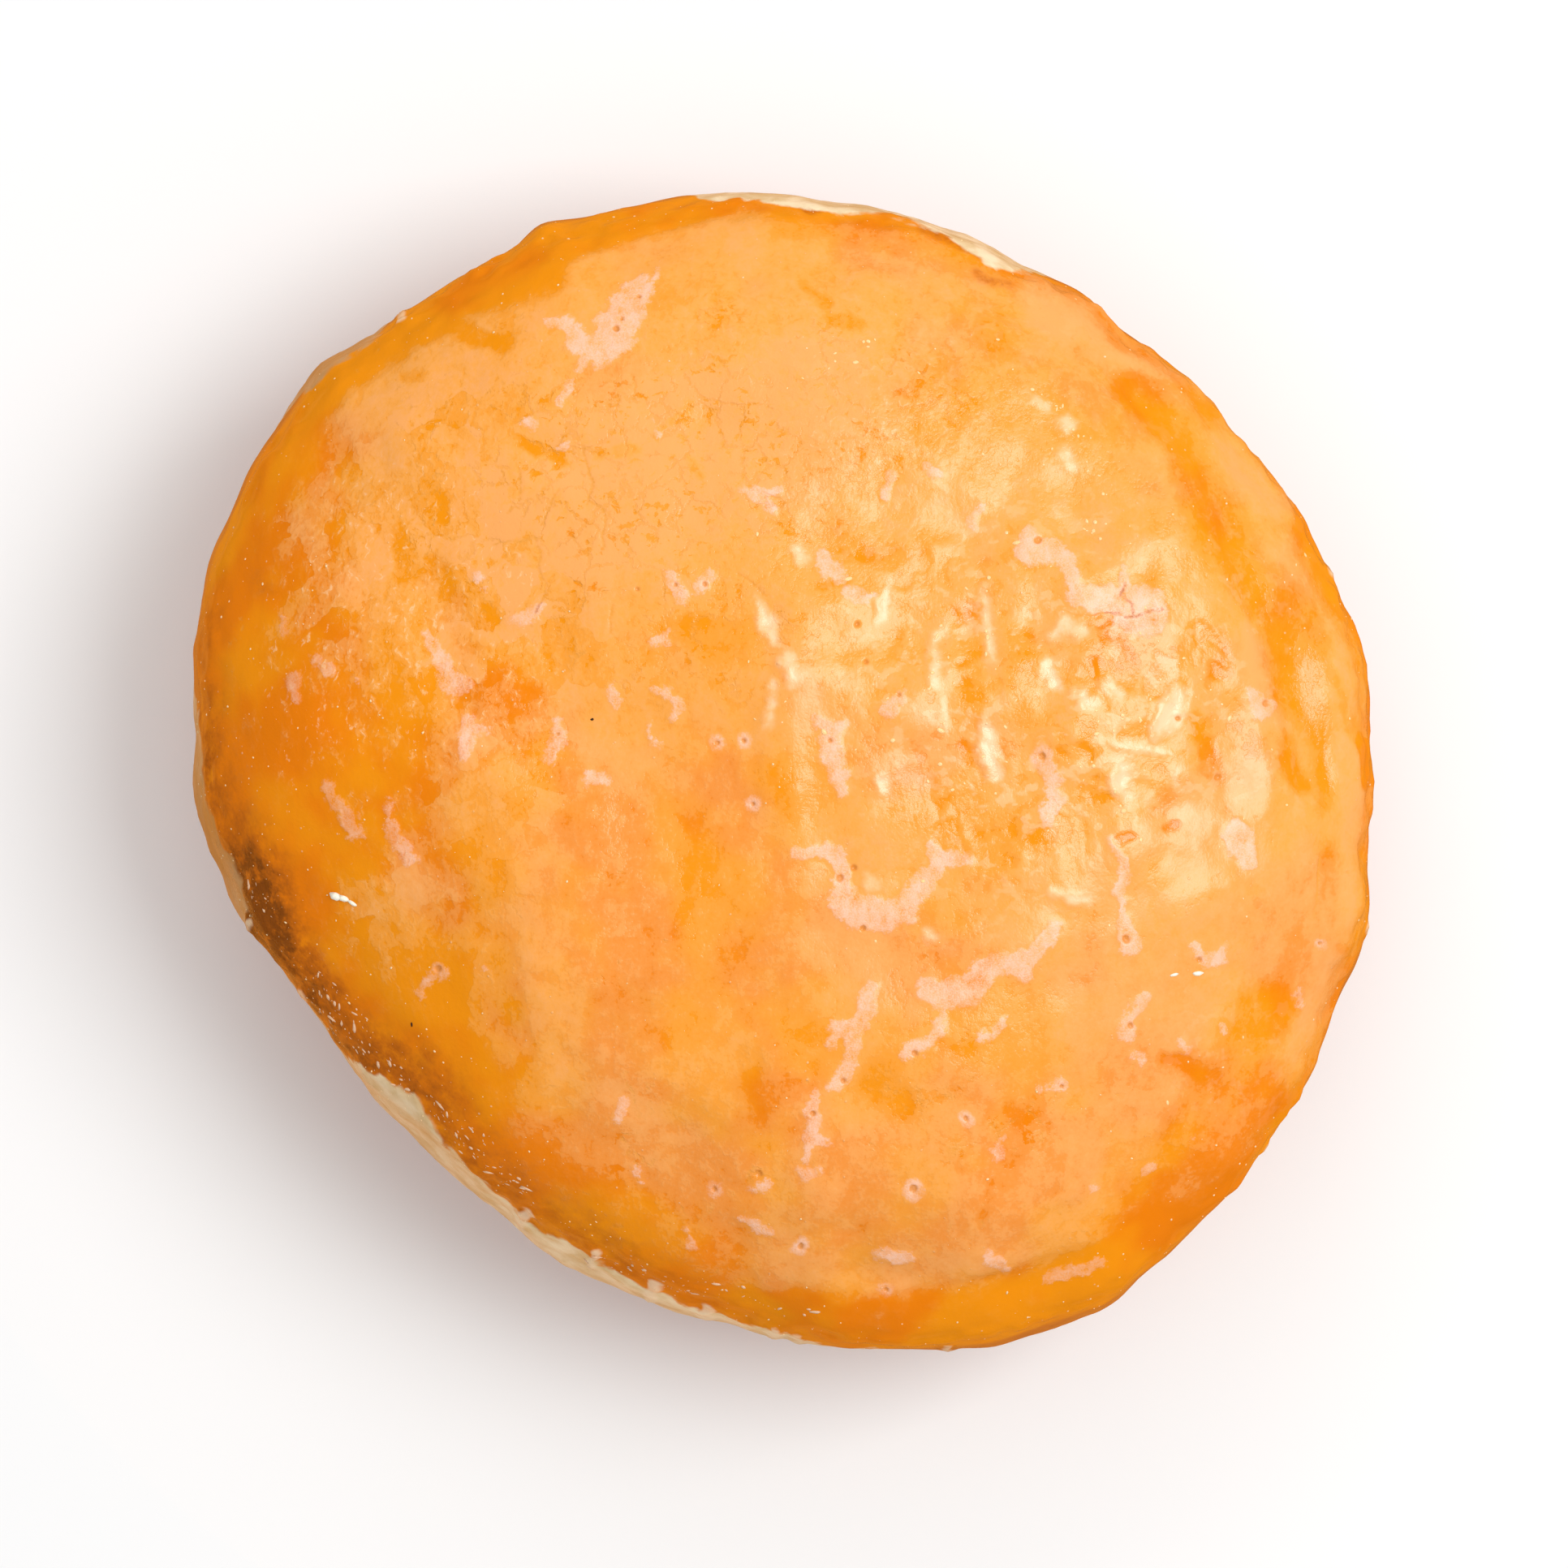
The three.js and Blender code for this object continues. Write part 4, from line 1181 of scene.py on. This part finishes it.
def add_light(name, from_zenith, turn, distance, size, watts, glossy=True):
    """A square lamp that faces the middle of the floor."""
    data = bpy.data.lights.new(name, "AREA")
    data.size = size * MM
    data.energy = watts
    light = bpy.data.objects.new(name, data)
    light.visible_glossy = glossy
    tilt, bearing = math.radians(from_zenith), math.radians(turn)
    aside = math.sin(tilt)
    towards = Vector((aside * math.cos(bearing), aside * math.sin(bearing), math.cos(tilt)))
    light.location = towards * distance * MM
    light.rotation_euler = towards.to_track_quat("Z", "Y").to_euler()
    bpy.context.scene.collection.objects.link(light)


def add_world():
    world = bpy.data.worlds.new("studio")
    world.use_nodes = True
    background = world.node_tree.nodes["Background"].inputs
    background["Color"].default_value = (1, 1, 1, 1)
    background["Strength"].default_value = WORLD_LIGHT
    world.cycles_visibility.glossy = False
    bpy.context.scene.world = world


def add_camera():
    data = bpy.data.cameras.new("camera")
    data.sensor_width = SENSOR_WIDTH
    data.lens = SENSOR_WIDTH * (CAMERA_HEIGHT - WIDEST_LEVEL) / FRAME_WIDTH
    data.clip_start = NEAR_CLIP * MM
    camera = bpy.data.objects.new("camera", data)
    camera.location = (FRAME_MIDDLE[0] * MM, FRAME_MIDDLE[1] * MM, CAMERA_HEIGHT * MM)
    bpy.context.scene.collection.objects.link(camera)
    bpy.context.scene.camera = camera


add_camera()
add_world()
add_floor()
add_card()
add_light("key", **KEY)
add_light("fill", **FILL, glossy=False)

points, triangles, marks = make_doughnut()
surface = BVHTree.FromPolygons(points.tolist(), triangles.tolist())
flat = as_seen(points)
crown = marks["crown"]

clear_share = smooth_step(0.3, -0.5, marks["film"])
sugar_share = crown * (0.06 + 0.6 * clear_share + 1.5 * marks["scorch"])
sugar = scattered(points, triangles, sugar_share, count=850, sizes=(0.03, 0.11), seed=7)
make_crumbs("sugar_grains", sugar, crumb_material("sugar", SUGAR, 0.3), seed=11)

# Glossy crumbs along the browned edge, whose pale colour is partly a painted highlight standing in for the
# glints of its glaze
glint_share = crown * (distance_to_strokes(flat, GLINTS) < STREWN_BEYOND)
glints = scattered(
    points, triangles, glint_share,
    count=190, sizes=(0.04, 0.2), seed=17, longest=4.0, height=0.4, stray=0.9,
)
make_crumbs("glinting_sugar", glints, crumb_material("glinting_sugar", GLINT, 0.3), seed=19)

white = placed_by_hand(surface, WHITE_GRAINS)
make_crumbs("white_grains", white, crumb_material("white_sugar", WHITE, 0.35), seed=31)

bead_share = crown * (0.08 * marks["rugged"] + (distance_to_strokes(flat, BEADED) < STREWN_BEYOND))
beads = scattered(
    points, triangles, bead_share,
    count=170, sizes=(0.06, 0.2), seed=23, longest=2.2, height=0.4,
)
make_crumbs("glaze_beads", beads, crumb_material("glaze_bead", BEAD, 0.15), seed=29, rounds=2, uneven=0.1)

dark = placed_by_hand(surface, DARK_CRUMBS)
make_crumbs("dark_crumbs", dark, crumb_material("burnt_crumb", BURNT, 0.6), seed=13)

view = bpy.context.scene.view_settings
view.view_transform = "Standard"
view.look = "None"
